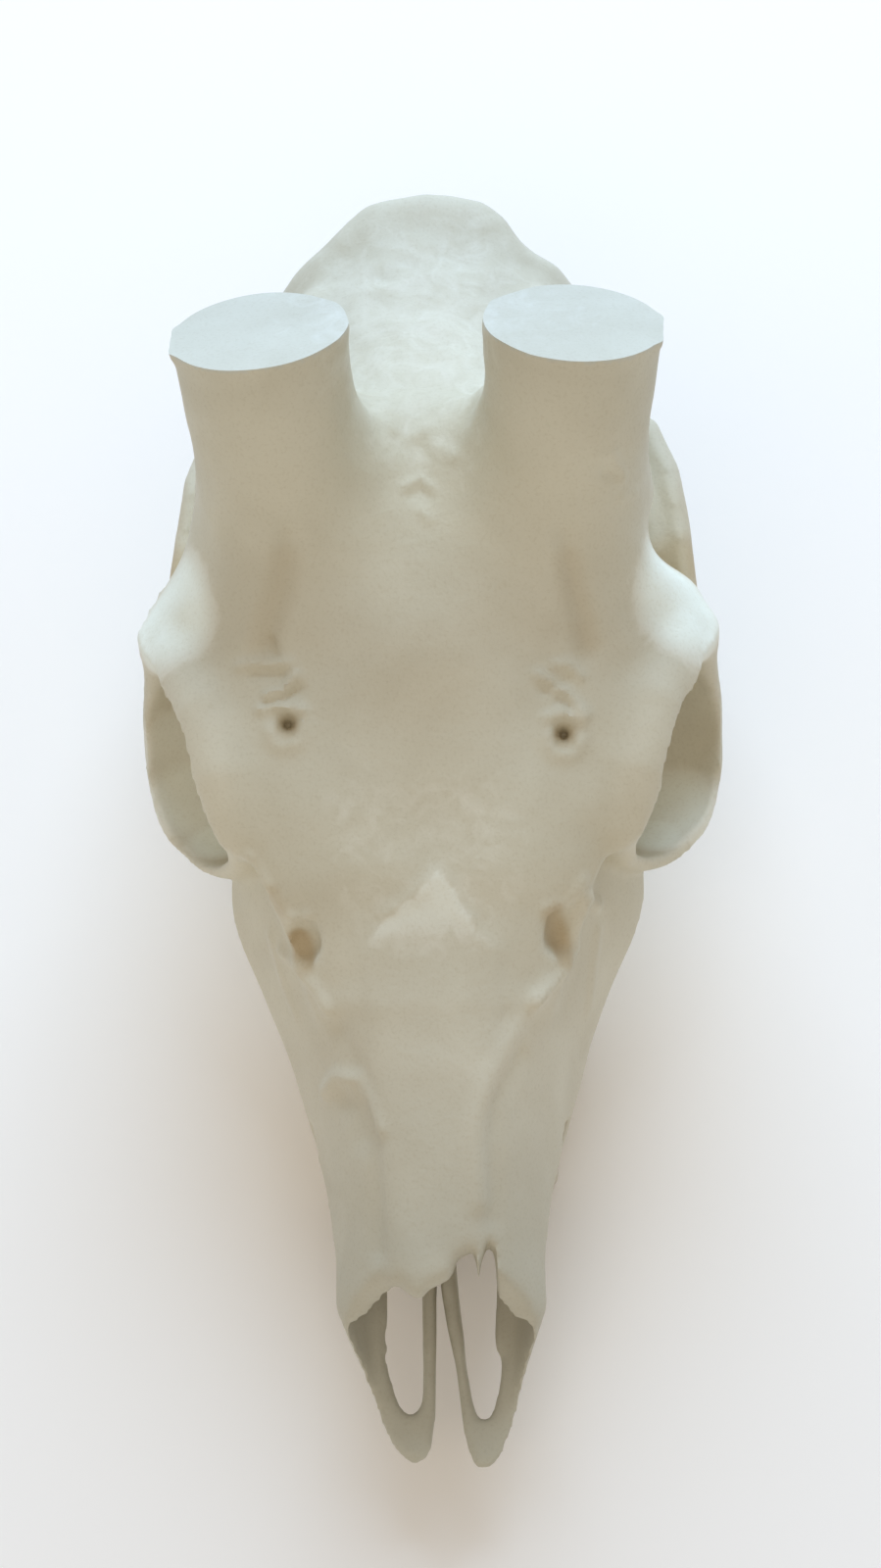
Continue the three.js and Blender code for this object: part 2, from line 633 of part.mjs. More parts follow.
function snoutSlots() {
  const front = back(0.038);
  const rear = back(junctionShares.snoutPalate[0]) - palateSlotRear;
  const inner = nostrilBridge + side(0.012);
  const outer = inner + palateSlotWidth;
  const slotPoints = [
    [inner + palateSlotWidth / 4, front + palateSlotWidth / 4], [inner + palateSlotWidth / 2, front],
    [outer - palateSlotWidth / 4, front + palateSlotWidth / 3],
    [outer, front + palateSlotWidth * 1.5], [outer, rear - palateSlotWidth / 2],
    [outer - palateSlotWidth / 3, rear], [inner + palateSlotWidth / 3, rear],
    [inner, rear - palateSlotWidth / 2], [inner, front + palateSlotWidth * 1.5],
  ].map((pair) => new THREE.Vector2(...pair));
  const gap = planPoints([
    [-0.092, -0.06], [0.092, -0.06], [0.074, 0.006], [0.040, 0.038], [0.009, 0.112],
    [0.004, 0.175], [-0.004, 0.175], [-0.009, 0.112], [-0.040, 0.038], [-0.074, 0.006],
  ]);
  const roof = up(0.30);
  return bothSides(planPrism(slotPoints, 0, roof)).add(planPrism(gap, 0, roof));
}

// The snout's tips, trimmed round as they look from above

function snoutTrim() {
  const outline = planPoints([
    [0, -0.1], [0.60, -0.1], [0.60, 0.105], [0.342, 0.105], [0.316, 0.085], [0.286, 0.0695],
    [0.256, 0.0535], [0.236, 0.0375], [0.212, 0.0215], [0.160, 0.006], [0.112, 0], [0, 0],
  ]);
  return bothSides(planPrism(outline, 0, up(0.70)));
}

// The mouth's roof between the tooth rows

function mouthRoof() {
  const vault = planPoints([
    [0.10, 0.20], [0.165, 0.245], [0.235, 0.330], [0.275, 0.42], [0.275, 0.60], [-0.275, 0.60],
    [-0.275, 0.42], [-0.235, 0.330], [-0.165, 0.245], [-0.10, 0.20],
  ]);
  return planPrism(vault, -overrun, up(0.225) - palateThickness);
}

const nerveAndBloodHoles = () => {
  const browHole = rod(place([0.445, 0.486, 0.95]), place([0.50, 0.500, 0.60]), browHoleRadius, 10);
  const tearPit = rod(place([0.50, 0.375, 0.76]), place([0.40, 0.350, 0.63]), tearPitRadius, 8);
  return bothSides(browHole.add(tearPit));
};

const neckHole = rod(place([0, 0.86, 0.440]), place([0, 1.10, 0.330]), neckHoleRadius, 18);
const throatHole = rod(place([0, 0.570, 0.10]), place([0, 0.545, 0.46]), side(0.17), 14);
const floorPlate = new THREE.BoxGeometry(skullWidth * 2, skullLength * 3, overrun);

// Eye sockets, neck joint and the pegs beside it

function roundPart(centre, radii, sides = 16) {
  const ballGeometry = new THREE.SphereGeometry(1, sides, sides * 0.6);
  return solid(ballGeometry.scale(...radii).translate(...centre));
}

const eyeSocket = roundPart(socketCentre, [0, 1, 2].map(() => socketRadius), 16);
const condyleRadii = [1, 0.95, 1.2].map((share) => share * condyleRadius);
const condyle = roundPart(
  place([0.22, 1, 0.300]).sub(new THREE.Vector3(0, condyleRadii[1], 0)), condyleRadii, 10,
);
const peg = sweep(
  [[0.46, 0.905, 0.420], [0.46, 0.925, 0.300], [0.45, 0.938, 0.170], [0.41, 0.940, 0]].map(place),
  new THREE.Vector3(0, 1, 0), neckProcessRadius * 1.5, neckProcessRadius * 1.2, 5,
  neckFootRadius / neckProcessRadius,
);

const blank = outside.subtract(bothSides(eyeSocket)).add(bothSides(condyle)).add(bothSides(peg));

const cranium = [
  noseRoom, brainRoom, bothSides(sawnOff()), nostril(), snoutSlots(), snoutTrim(), mouthRoof(),
  nerveAndBloodHoles(), neckHole, throatHole, solid(floorPlate.translate(0, 0, -overrun / 2)),
].reduce((body, cutter) => body.subtract(cutter), blank);

// Upper cheek teeth, front to back. Each stands in its socket with its chewing face on the table.

const toothNames = ['premolar_2', 'premolar_3', 'premolar_4', 'molar_1', 'molar_2', 'molar_3'];
const toothRowShares = [0.83, 0.925, 0.98, 1.02, 1.035, 1.01]; // how far out each tooth stands
const lobeShares = [
  [-0.50, 0.26], [-0.30, 0.50], [-0.12, 0.48], [0, 0.40], [0.14, 0.48], [0.32, 0.50], [0.50, 0.26],
  [0.50, -0.26], [0.30, -0.50], [0.12, -0.46], [0, -0.38], [-0.14, -0.46], [-0.32, -0.50],
  [-0.50, -0.26],
];
const pegShares = [
  [-0.50, 0.20], [-0.24, 0.50], [0.22, 0.50], [0.50, 0.24], [0.50, -0.24], [0.22, -0.48], [-0.26, -0.46],
  [-0.50, -0.20],
];

function toothAt(index) {
  const isMolar = index > 2;
  const length = isMolar ? molarLength : premolarLength;
  const width = isMolar ? molarWidth : premolarWidth;
  const before = toothNames.slice(0, index).reduce(
    (sum, _, i) => sum + (i > 2 ? molarLength : premolarLength) + toothGap, 0,
  );
  const middle = new THREE.Vector2(
    toothRowHalf * toothRowShares[index], toothRowStart + before + length / 2,
  );
  const points = (isMolar ? lobeShares : pegShares).map(
    ([along, across]) => new THREE.Vector2(middle.x + across * width, middle.y + along * length),
  );
  const crown = planPrism(points, 0, crownLength);
  const root = planPrism(grown(points, -rootInset), crownLength - rootInset, crownLength + rootDepth);
  const lean = crownGroove * 0.8;
  const valley = sidePrism([
    new THREE.Vector2(-lean, -crownGroove), new THREE.Vector2(lean, -crownGroove),
    new THREE.Vector2(lean, 0), new THREE.Vector2(0, crownGroove), new THREE.Vector2(-lean, 0),
  ], -length, length).rotate([0, 0, 90]).translate([middle.x, middle.y, 0]);
  const socketCrown = planPrism(grown(points, slotClearance), -overrun, crownLength + slotClearance);
  const socketRoot = planPrism(
    grown(points, slotClearance - rootInset), 0, crownLength + rootDepth + slotClearance,
  );
  return { tooth: crown.add(root).subtract(valley), socket: socketCrown.add(socketRoot) };
}

const teeth = toothNames.map((_, index) => toothAt(index));
const sockets = teeth.map(({ socket }) => socket);

// The ear's bulbs under the skull, and the plate that divides the nose

const bullaCentre = place([0.33, 0.850, 0.250]);
const bullaForm = (growth) => roundPart(
  bullaCentre, [bullaRadius + growth, bullaRadius * 1.3 + growth, bullaRadius + growth], 12,
);
const bullaSpace = bullaForm(slotClearance);
const bulla = bullaForm(0);

const vomerShares = [
  [0.200, 0.20], [0.495, 0.20], [0.500, 0.38], [0.420, 0.40], [0.320, 0.36], [0.230, 0.29],
];
const vomer = sidePrism(sidePoints(vomerShares), -vomerThickness / 2, vomerThickness / 2)
  .intersect(noseRoom.translate([0, 0, slotClearance]))
  .intersect(noseRoom.translate([0, 0, -slotClearance]))
  .intersect(noseRoom);

const far = halfWidth * 1.5;
const halfGap = sutureGap / 2;
const outerHalf = side(0.55); // the cheek bones lie outside this, the brain's case inside
const baseHalf = side(0.24); // the base's middle bones lie inside this
const palatineHalf = side(0.29);

// A bone's share of the block: an outline over the sutures, taken in by half a gap all round.
const region = (names, from = 0, to = far) => sidePrism(
  grown(names.map(junction), -halfGap), from < 0 ? -far : from + halfGap, to === far ? far : to - halfGap,
);
const unpaired = (names, half = far) => {
  const reach = half === far ? far : half - halfGap;
  return sidePrism(grown(names.map(junction), -halfGap), -reach, reach);
};
const widened = (names, from, to = far) => sidePrism(grown(names.map(junction), halfGap), from - halfGap, to);

const carve = (share, ...spared) => largest(
  spared.reduce((body, other) => body.subtract(other), cranium.intersect(share)),
);

const nasalBoth = [nasalLeftShares, nasalRightShares]
  .map((shares) => bothSides(nasalRegion(shares, halfGap)))
  .reduce((a, b) => a.add(b));
const cheekNames = [
  'cheekFront', 'eyeHollowLow', 'eyeHollow', 'postTop', 'postBack', 'barTop', 'barSplit', 'barLow',
  'cheekBack', 'cheekLow',
];
const palatineNames = [
  'palateLow', 'palateEdge', 'palateWall', 'eyeHollowLow', 'eyeHollow', 'wallLow', 'wallBack', 'keelFront',
];
const throatNames = ['wallLow', 'wallBack', 'keelFront', 'toothBackLow', 'toothBack'];
const cheekSpace = widened(cheekNames, outerHalf);
const palatineSpace = sidePrism(
  grown(palatineNames.map(junction), halfGap), -palatineHalf, palatineHalf + halfGap,
);

const premaxilla = carve(region([
  'frontLow', 'snoutLow', 'snoutPalate', 'snoutSide', 'snoutTop', 'snoutHigh', 'frontHigh',
]), nasalBoth);
const maxilla = carve(region([
  'snoutLow', 'snoutPalate', 'snoutSide', 'snoutTop', 'snoutHigh', 'tearHigh', 'tearTop', 'tearFront',
  'cheekFront', 'eyeHollowLow', 'eyeHollow', 'wallLow', 'toothBack', 'toothBackLow',
]), nasalBoth, cheekSpace, palatineSpace, ...sockets);
const lacrimal = carve(region([
  'tearTop', 'tearBack', 'eyeFront', 'eyeHollowFront', 'eyeHollow', 'eyeHollowLow', 'cheekFront',
  'tearFront',
]), nasalBoth);
const zygomatic = carve(region(cheekNames, outerHalf));
const palatine = carve(region(palatineNames, 0, palatineHalf).add(region(throatNames)));
const frontal = carve(region([
  'tearHigh', 'tearTop', 'tearBack', 'eyeFront', 'eyeHollowFront', 'eyeHollow', 'wallLow', 'wallBack',
  'wingTop', 'crownSide', 'crownTop', 'crownBehind', 'crownOut',
]), nasalBoth, cheekSpace);
const temporal = carve(
  region([
    'wingTop', 'crownSide', 'templeMid', 'templeBack', 'napeSide', 'earTop', 'earBack', 'earLow',
    'baseSide', 'keelBack', 'wingLow', 'wingBack',
  ], baseHalf).add(region([
    'barTop', 'barSplit', 'barLow', 'barEndLow', 'barEnd', 'templeMid', 'crownSide',
  ], outerHalf)),
  bullaSpace,
);
const parietal = carve(unpaired([
  'crownSide', 'templeMid', 'templeBack', 'napeSide', 'napeTop', 'napeOut', 'crownOut', 'crownBehind',
  'crownTop',
]));
const occipital = carve(
  unpaired([
    'keelBackLow', 'baseSide', 'earLow', 'earBack', 'earTop', 'napeSide', 'napeTop', 'napeOut',
    'endHigh', 'endLow',
  ]).add(unpaired(['keelBackLow', 'keelBack', 'earBack', 'endLow'], baseHalf)),
  bothSides(bullaSpace),
);
const sphenoid = carve(unpaired([
  'keelFront', 'wallBack', 'wingTop', 'wingBack', 'wingLow', 'keelBack', 'keelBackLow',
], outerHalf), bothSides(bullaSpace));
const nasalRight = carve(nasalRegion(nasalRightShares, -halfGap));
const nasalLeft = carve(nasalRegion(nasalLeftShares, -halfGap));

// The assembly

const castBone = new THREE.MeshStandardMaterial({ color: 0xd6d2c3, roughness: 0.62, metalness: 0 });
const castTooth = new THREE.MeshStandardMaterial({ color: 0xdfdccf, roughness: 0.5, metalness: 0 });
const group = new THREE.Group();

function addPart(name, body, material = castBone) {
  const mesh = new THREE.Mesh(geometryOf(body), material);
  mesh.name = name;
  group.add(mesh);
}

function addPair(name, body, material) {
  addPart(`${name}_right`, body, material);
  addPart(`${name}_left`, mirrored(body), material);
}

addPair('premaxilla', premaxilla);
addPair('maxilla', maxilla);
addPart('nasal_right', nasalRight);
addPart('nasal_left', nasalLeft);
addPair('lacrimal', lacrimal);
addPair('zygomatic', zygomatic);
addPair('frontal', frontal);
addPart('parietal', parietal);
addPair('temporal', temporal);
addPair('tympanic_bulla', bulla);
addPart('occipital', occipital);
addPart('sphenoid', sphenoid);
addPair('palatine', palatine);
addPart('vomer', largest(vomer));
teeth.forEach(({ tooth }, index) => addPair(toothNames[index], tooth, castTooth));

const box = new THREE.Box3().setFromObject(group);
const middle = box.getCenter(new THREE.Vector3());
for (const child of group.children) child.geometry.translate(0, -middle.y, -box.min.z);
group.name = 'deer_skull_model';

export default group;
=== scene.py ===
import bpy
import json
import math
import numpy as np
from mathutils import Matrix, Vector

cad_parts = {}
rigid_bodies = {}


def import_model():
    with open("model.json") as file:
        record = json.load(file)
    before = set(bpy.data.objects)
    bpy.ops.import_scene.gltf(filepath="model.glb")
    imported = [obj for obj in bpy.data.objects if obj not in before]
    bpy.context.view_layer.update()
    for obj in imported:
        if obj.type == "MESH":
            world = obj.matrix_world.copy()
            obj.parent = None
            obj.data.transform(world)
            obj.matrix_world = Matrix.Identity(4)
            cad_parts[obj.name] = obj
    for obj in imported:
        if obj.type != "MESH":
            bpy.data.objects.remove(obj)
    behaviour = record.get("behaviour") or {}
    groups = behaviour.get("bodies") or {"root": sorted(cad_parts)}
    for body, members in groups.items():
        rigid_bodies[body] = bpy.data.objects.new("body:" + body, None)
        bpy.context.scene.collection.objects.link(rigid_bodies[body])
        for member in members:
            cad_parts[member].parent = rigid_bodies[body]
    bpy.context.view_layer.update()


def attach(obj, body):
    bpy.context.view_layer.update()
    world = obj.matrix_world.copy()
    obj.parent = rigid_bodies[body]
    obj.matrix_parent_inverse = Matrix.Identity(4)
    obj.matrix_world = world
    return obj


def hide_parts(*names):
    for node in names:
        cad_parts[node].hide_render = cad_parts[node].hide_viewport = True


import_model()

# The table: a plain pale board with a matt coat of paint, which the skull stands on with its teeth
# and its two neck pegs. It is wide enough that its edges never show.
board_half = 3.0
board = bpy.data.meshes.new("table")
board.from_pydata([(-board_half, -board_half, 0), (board_half, -board_half, 0),
                   (board_half, board_half, 0), (-board_half, board_half, 0)], [], [(0, 1, 2, 3)])
table = bpy.data.objects.new("table", board)
bpy.context.collection.objects.link(table)
table_white = bpy.data.materials.new("table_white")
table_white.use_nodes = True
paint = table_white.node_tree.nodes["Principled BSDF"].inputs
paint["Base Color"].default_value = (1.0, 0.95, 0.895, 1)
paint["Roughness"].default_value = 0.9
board.materials.append(table_white)

# The light: a wide cool window behind and above the skull, which the sawn faces look into, and a dim
# warm lamp before it. The room itself adds a weak warm light from all sides.
world = bpy.data.worlds.new("room")
world.use_nodes = True
walls = world.node_tree.nodes["Background"].inputs
walls["Color"].default_value = (1.0, 0.98, 0.94, 1)
walls["Strength"].default_value = 0.44
bpy.context.scene.world = world
for name, place, aim, size, power, colour in (
    ("window", (0.08, 1.05, 0.88), (0, 0.03, 0.08), 1.1, 16.5, (0.66, 0.88, 1.16)),
    ("room", (-0.12, -0.74, 0.95), (0, 0, 0.05), 1.2, 2.8, (1.0, 0.86, 0.68)),
):
    lamp = bpy.data.lights.new(name, "AREA")
    lamp.shape = "DISK"
    lamp.size = size
    lamp.energy = power
    lamp.color = colour
    holder = bpy.data.objects.new(name, lamp)
    bpy.context.collection.objects.link(holder)
    holder.location = place
    holder.rotation_mode = "QUATERNION"
    holder.rotation_quaternion = (Vector(aim) - Vector(place)).to_track_quat("-Z", "Y")
bpy.context.scene.view_settings.view_transform = "Standard"

# The camera looks down on the forehead from in front of the snout, a little from the right and with a
# small lean, as the photograph was taken. Here and in the names, left and right are the viewer's.
lens_turn, lens_rise, lens_lean = math.radians(4.32), math.radians(67), math.radians(-5.19)
lens_away, lens_length, film_width = 0.650, 73.125, 36
aim_point = Vector((0.0022, -0.010, 0.080))
backwards = Vector((math.sin(lens_turn) * math.cos(lens_rise), -math.cos(lens_turn) * math.cos(lens_rise),
                    math.sin(lens_rise)))
across = Vector((math.cos(lens_turn), math.sin(lens_turn), 0))
upwards = backwards.cross(across)
lean_across = across * math.cos(lens_lean) + upwards * math.sin(lens_lean)
lean_up = upwards * math.cos(lens_lean) - across * math.sin(lens_lean)
eye = aim_point + backwards * lens_away
camera_data = bpy.data.cameras.new("camera")
camera_data.lens = lens_length
camera_data.sensor_width = film_width
camera = bpy.data.objects.new("camera", camera_data)
bpy.context.collection.objects.link(camera)
camera.matrix_world = Matrix((*zip(lean_across, lean_up, backwards, eye), (0, 0, 0, 1)))
bpy.context.scene.camera = camera

# The block of cast resin that all the bones are parted from. It is first worked out as a field of
# distances in millimetres on an even grid, negative inside, with y running back from the snout's tips.
LENGTH, HALF_WIDTH, CROWN, MIDDLE = 276.0, 62.0, 112.0, 138.0
STEP = 1.0
front_air = 8


def room_of(x_span, y_span, z_span, step):
    x, y, z = (np.arange(*span, step, dtype=np.float32) for span in (x_span, y_span, z_span))
    return x[:, None, None], y[None, :, None], z[None, None, :]


X, Y, Z = room_of((0, 70), (-front_air, 286), (-5, 162), STEP)
grid_x, grid_y, grid_z = X.ravel(), Y.ravel(), Z.ravel()


def spot(share):
    return np.array([share[0] * HALF_WIDTH, share[1] * LENGTH, share[2] * CROWN])


def melt(a, b, reach):
    overlap = np.maximum(reach - np.abs(a - b), 0) / reach
    return np.minimum(a, b) - overlap * overlap * reach / 4


def scoop(a, b, reach):
    return -melt(-a, b, reach)


def eased_rows(rows, at):
    rows = np.array(rows, dtype=np.float64)
    at = np.clip(at, rows[0, 0], rows[-1, 0])
    i = np.clip(np.searchsorted(rows[:, 0], at, side="right") - 1, 0, len(rows) - 2)
    before, a, b = rows[np.maximum(i - 1, 0)], rows[i], rows[i + 1]
    after = rows[np.minimum(i + 2, len(rows) - 1)]
    span = (b[:, 0] - a[:, 0])[:, None]
    t = ((at - a[:, 0]) / span[:, 0])[:, None]
    slope_a = (b - before) / (b[:, :1] - before[:, :1]) * span
    slope_b = (after - a) / (after[:, :1] - a[:, :1]) * span
    return ((2 * t**3 - 3 * t**2 + 1) * a + (t**3 - 2 * t**2 + t) * slope_a
            + (3 * t**2 - 2 * t**3) * b + (t**3 - t**2) * slope_b)


def drawn_body(shares, squareness, inset=0.0, room=None):
    x, y, z = room or (X, Y, Z)
    full = [LENGTH, *[HALF_WIDTH] * 3, *[CROWN] * 3]
    rows = (np.array(shares) * full + inset * np.array([0, -1, -1, -1, 1, 0, -1])).tolist()
    cut = eased_rows(rows, y.ravel().astype(np.float64)).astype(np.float32)
    _, low, mid, high, bottom, middle, top = [column[None, :, None] for column in cut.T]
    above = z > middle
    reach = np.maximum(np.where(above, top - middle, middle - bottom), 0.3)
    t = np.abs(z - middle) / reach
    width = np.maximum(mid + (np.where(above, high, low) - mid) * np.minimum(t, 1), 0.3)
    ring = ((np.abs(x) / width) ** squareness + t**squareness) ** (1 / squareness) - 1
    ends = np.maximum(rows[0][0] + inset - y, y - rows[-1][0] + inset)
    return -melt(-ring * np.minimum(width, reach), -ends, reach / 2)


# The long face: nose, upper jaw and snout, as one smooth form of resin. Each row holds shares: how far
# back it lies, its half widths low, mid and high, and the heights of its bottom, middle and top.
face_rows = [
    [-0.050, 0.20, 0.220, 0.20, 0.150, 0.190, 0.250], [0.020, 0.24, 0.270, 0.22, 0.147, 0.220, 0.330],
    [0.055, 0.26, 0.300, 0.22, 0.144, 0.260, 0.410], [0.100, 0.29, 0.342, 0.20, 0.140, 0.320, 0.480],
    [0.150, 0.29, 0.349, 0.22, 0.135, 0.345, 0.518], [0.200, 0.31, 0.385, 0.26, 0.125, 0.350, 0.565],
    [0.250, 0.42, 0.442, 0.31, 0.100, 0.340, 0.612], [0.300, 0.49, 0.506, 0.36, 0.094, 0.350, 0.661],
    [0.350, 0.53, 0.597, 0.42, 0.094, 0.370, 0.708], [0.400, 0.55, 0.692, 0.46, 0.094, 0.400, 0.755],
    [0.440, 0.56, 0.708, 0.44, 0.094, 0.410, 0.780], [0.480, 0.56, 0.620, 0.40, 0.096, 0.400, 0.760],
    [0.535, 0.53, 0.540, 0.36, 0.104, 0.380, 0.700],
]
block = drawn_body(face_rows, 3.2)

# The brain's case with the narrow part between the eyes, the forehead's shelf over the eyes, and the
# nape's raised and cornered back. All three are melted on to the face, since the cast is one pour.
case_rows = [
    [0.400, 0.20, 0.34, 0.40, 0.380, 0.590, 0.740], [0.500, 0.20, 0.36, 0.46, 0.360, 0.610, 0.840],
    [0.580, 0.26, 0.42, 0.52, 0.330, 0.610, 0.915], [0.645, 0.36, 0.53, 0.58, 0.310, 0.620, 0.960],
    [0.710, 0.42, 0.58, 0.58, 0.300, 0.620, 0.985], [0.780, 0.45, 0.605, 0.52, 0.275, 0.600, 0.925],
    [0.850, 0.45, 0.615, 0.44, 0.250, 0.560, 0.850], [0.905, 0.44, 0.590, 0.34, 0.235, 0.500, 0.790],
    [0.945, 0.38, 0.500, 0.24, 0.230, 0.460, 0.750], [0.962, 0.32, 0.380, 0.18, 0.230, 0.450, 0.730],
]
brow_rows = [
    [0.318, 0.16, 0.26, 0.22, 0.520, 0.570, 0.610], [0.352, 0.22, 0.38, 0.32, 0.560, 0.620, 0.668],
    [0.384, 0.34, 0.50, 0.42, 0.590, 0.660, 0.718], [0.412, 0.46, 0.60, 0.50, 0.620, 0.700, 0.757],
    [0.442, 0.54, 0.670, 0.56, 0.650, 0.740, 0.795], [0.482, 0.58, 0.730, 0.60, 0.680, 0.765, 0.835],
    [0.522, 0.62, 0.775, 0.62, 0.690, 0.770, 0.880], [0.552, 0.66, 0.820, 0.64, 0.670, 0.765, 0.908],
    [0.574, 0.70, 0.880, 0.67, 0.650, 0.735, 0.924], [0.592, 0.74, 0.945, 0.70, 0.630, 0.710, 0.937],
    [0.608, 0.74, 0.945, 0.70, 0.620, 0.700, 0.948], [0.634, 0.70, 0.885, 0.72, 0.620, 0.700, 0.966],
    [0.655, 0.66, 0.810, 0.72, 0.640, 0.740, 0.980], [0.690, 0.60, 0.720, 0.70, 0.700, 0.800, 1.000],
    [0.720, 0.54, 0.660, 0.62, 0.760, 0.840, 0.990],
]
nape_rows = [
    [0.800, 0.30, 0.45, 0.46, 0.500, 0.620, 0.840], [0.860, 0.32, 0.50, 0.47, 0.500, 0.600, 0.803],
    [0.900, 0.32, 0.48, 0.42, 0.480, 0.590, 0.776], [0.930, 0.30, 0.41, 0.36, 0.480, 0.590, 0.762],
    [0.954, 0.24, 0.31, 0.28, 0.480, 0.580, 0.752],
]
for rows, squareness, softness in ((case_rows, 2.5, 0.10), (brow_rows, 2.8, 0.07), (nape_rows, 4.5, 0.06)):
    block = melt(block, drawn_body(rows, squareness), softness * CROWN)


# Limbs: the ring round each eye, the cheek bar, the nape's crest and the lines over the temples. Each
# runs through points with a radius at each, and a flatness that squeezes it side to side. The bar's
# inner side is filled out, because no light shows between it and the stump.
def limb(joints, flatness=1.0, room=None):
    x, y, z = room or (X, Y, Z)
    nearest = np.full(np.broadcast_shapes(x.shape, y.shape, z.shape), 60, dtype=np.float32)
    joints = [(np.array(at, dtype=float), radius) for at, radius in joints]
    for (a, radius_a), (b, radius_b) in zip(joints, joints[1:]):
        margin = 18 + max(radius_a, radius_b)
        reaches = zip(np.minimum(a, b) - margin, np.maximum(a, b) + margin)
        part = tuple(slice(*np.searchsorted(axis.ravel(), ends)) for axis, ends in zip((x, y, z), reaches))
        px, py, pz = (x[part[0]] - a[0]) * flatness, y[:, part[1]] - a[1], z[:, :, part[2]] - a[2]
        d = (b - a) * (flatness, 1, 1)
        t = np.clip((px * d[0] + py * d[1] + pz * d[2]) / max(d @ d, 1e-6), 0, 1)
        away = np.sqrt((px - d[0] * t) ** 2 + (py - d[1] * t) ** 2 + (pz - d[2] * t) ** 2)
        away = (away - radius_a - (radius_b - radius_a) * t) / math.sqrt(flatness)
        nearest[part] = np.minimum(nearest[part], away)
    return nearest


def limb_of(shares, radius, flatness=1.0):
    return limb([(spot(share), radius) for share in shares], flatness)


def rod(start, end, radius):
    return limb([(start, radius), (end, radius)])


eye_ring = [
    [0.64, 0.43, 0.6], [0.63, 0.434, 0.7], [0.68, 0.468, 0.77], [0.75, 0.515, 0.79], [0.835, 0.565, 0.745],
    [0.915, 0.582, 0.655], [0.936, 0.56, 0.555], [0.93, 0.515, 0.49], [0.865, 0.475, 0.455],
    [0.735, 0.448, 0.48], [0.64, 0.43, 0.6],
]
cheek_bar = [
    [0.9, 0.5, 0.47], [0.922, 0.55, 0.49], [0.912, 0.61, 0.495], [0.888, 0.66, 0.505], [0.868, 0.71, 0.515],
    [0.84, 0.755, 0.53], [0.78, 0.79, 0.54], [0.56, 0.815, 0.54],
]
nape_crest = [
    [0.00, 0.955, 0.742], [0.18, 0.948, 0.732], [0.34, 0.918, 0.7], [0.5, 0.886, 0.64], [0.56, 0.885, 0.52],
    [0.54, 0.895, 0.38],
]
temple_line = [[0.470, 0.650, 0.900], [0.460, 0.740, 0.878], [0.440, 0.800, 0.830], [0.400, 0.850, 0.780]]
bar_inside = [((51.6, 184, 55.5), 2.6), ((49.8, 191, 56.5), 3.7), ((48.8, 198, 57.5), 3.7),
              ((48.4, 206, 58.5), 3.2), ((47.0, 214, 59.5), 3.0)]
block = melt(block, limb_of(eye_ring, 3.4), 0.06 * CROWN)
block = melt(block, limb_of(cheek_bar, 4.4, 9.5 / 5.6), 0.05 * CROWN)
block = melt(block, limb(bar_inside), 2.5)
block = melt(block, limb_of(nape_crest, 2.2), 0.08 * CROWN)
block = melt(block, limb_of(temple_line, 2.2), 0.08 * CROWN)


# The antler stumps lean out, back and up from the forehead, round and solid, and end in the saw's cut
# further down. The keel under the brain is melted on after them.
def facing(*parts):
    return np.array(parts) / np.linalg.norm(parts)


stump_lean = facing(0.08, 0.56, 0.83)
stump_top = np.array([31.0, 0.728 * LENGTH, 1.24 * CROWN]) - stump_lean * 0.35
stump = [(stump_top - stump_lean * 50, 15.0), (stump_top - stump_lean * 12.5, 16.9),
         (stump_top - stump_lean * 1.2, 17.25), (stump_top, 17.6), (stump_top + stump_lean * 9, 17.6)]
along_stump = ((X - stump_top[0]) * stump_lean[0] + (Y - stump_top[1]) * stump_lean[1]
               + (Z - stump_top[2]) * stump_lean[2])
block = melt(block, np.maximum(limb(stump), along_stump - 5), 0.14 * CROWN)
keel = [[0, 0.930, 0.235], [0, 0.780, 0.280], [0, 0.640, 0.340], [0, 0.560, 0.390]]
keel_radii = [0.075, 0.070, 0.065, 0.060]
block = melt(block, limb([(spot(share), r * CROWN) for share, r in zip(keel, keel_radii)]), 0.06 * CROWN)


# The hollows inside: the nose with its thin-walled nostril, the throat behind it and the brain's room.
# Their walls are left as thick as a resin cast needs.
def orb(centre, radii, room=None):
    x, y, z = room or (X, Y, Z)
    p = (x - centre[0], y - centre[1], z - centre[2])
    k = np.sqrt(sum((q / r) ** 2 for q, r in zip(p, radii)))
    g = np.sqrt(sum((q / r**2) ** 2 for q, r in zip(p, radii)))
    return k * (k - 1) / np.maximum(g, 1e-6)


def trimmed(form, *walls):
    for wall in walls:
        form = np.maximum(form, wall)
    return form


def nose_floor(y):
    return (0.19 + 0.035 * np.clip(y / (0.25 * LENGTH), 0, 1)) * CROWN


socket_centre = spot([0.745, 0.500, 0.605])
socket_radius, cup_radius, socket_guard = 20.5, 23.1, 24.7
face_wall, nostril_wall, case_wall = 4.2, 2.1, 5.0
nose_room = trimmed(drawn_body(face_rows, 3.2, face_wall), nose_floor(Y) - Z, Y - 0.52 * LENGTH)
nostril_room = trimmed(drawn_body(face_rows, 3.2, nostril_wall), nose_floor(Y) - Z, Y - 44, Z - 38)
throat = trimmed(drawn_body(case_rows, 2.5, case_wall), 0.42 * CROWN - Z, Z - 0.74 * CROWN,
                 Y - 0.60 * LENGTH, 0.43 * LENGTH - Y)
nose_room = melt(melt(nose_room, nostril_room, 6.0), throat, 0.05 * CROWN)
nose_room = np.maximum(nose_room, -orb(socket_centre, [socket_guard] * 3))
brain_room = trimmed(drawn_body(case_rows, 2.3, case_wall), 0.37 * CROWN - Z, 0.635 * LENGTH - Y,
                     Y - 0.925 * LENGTH)

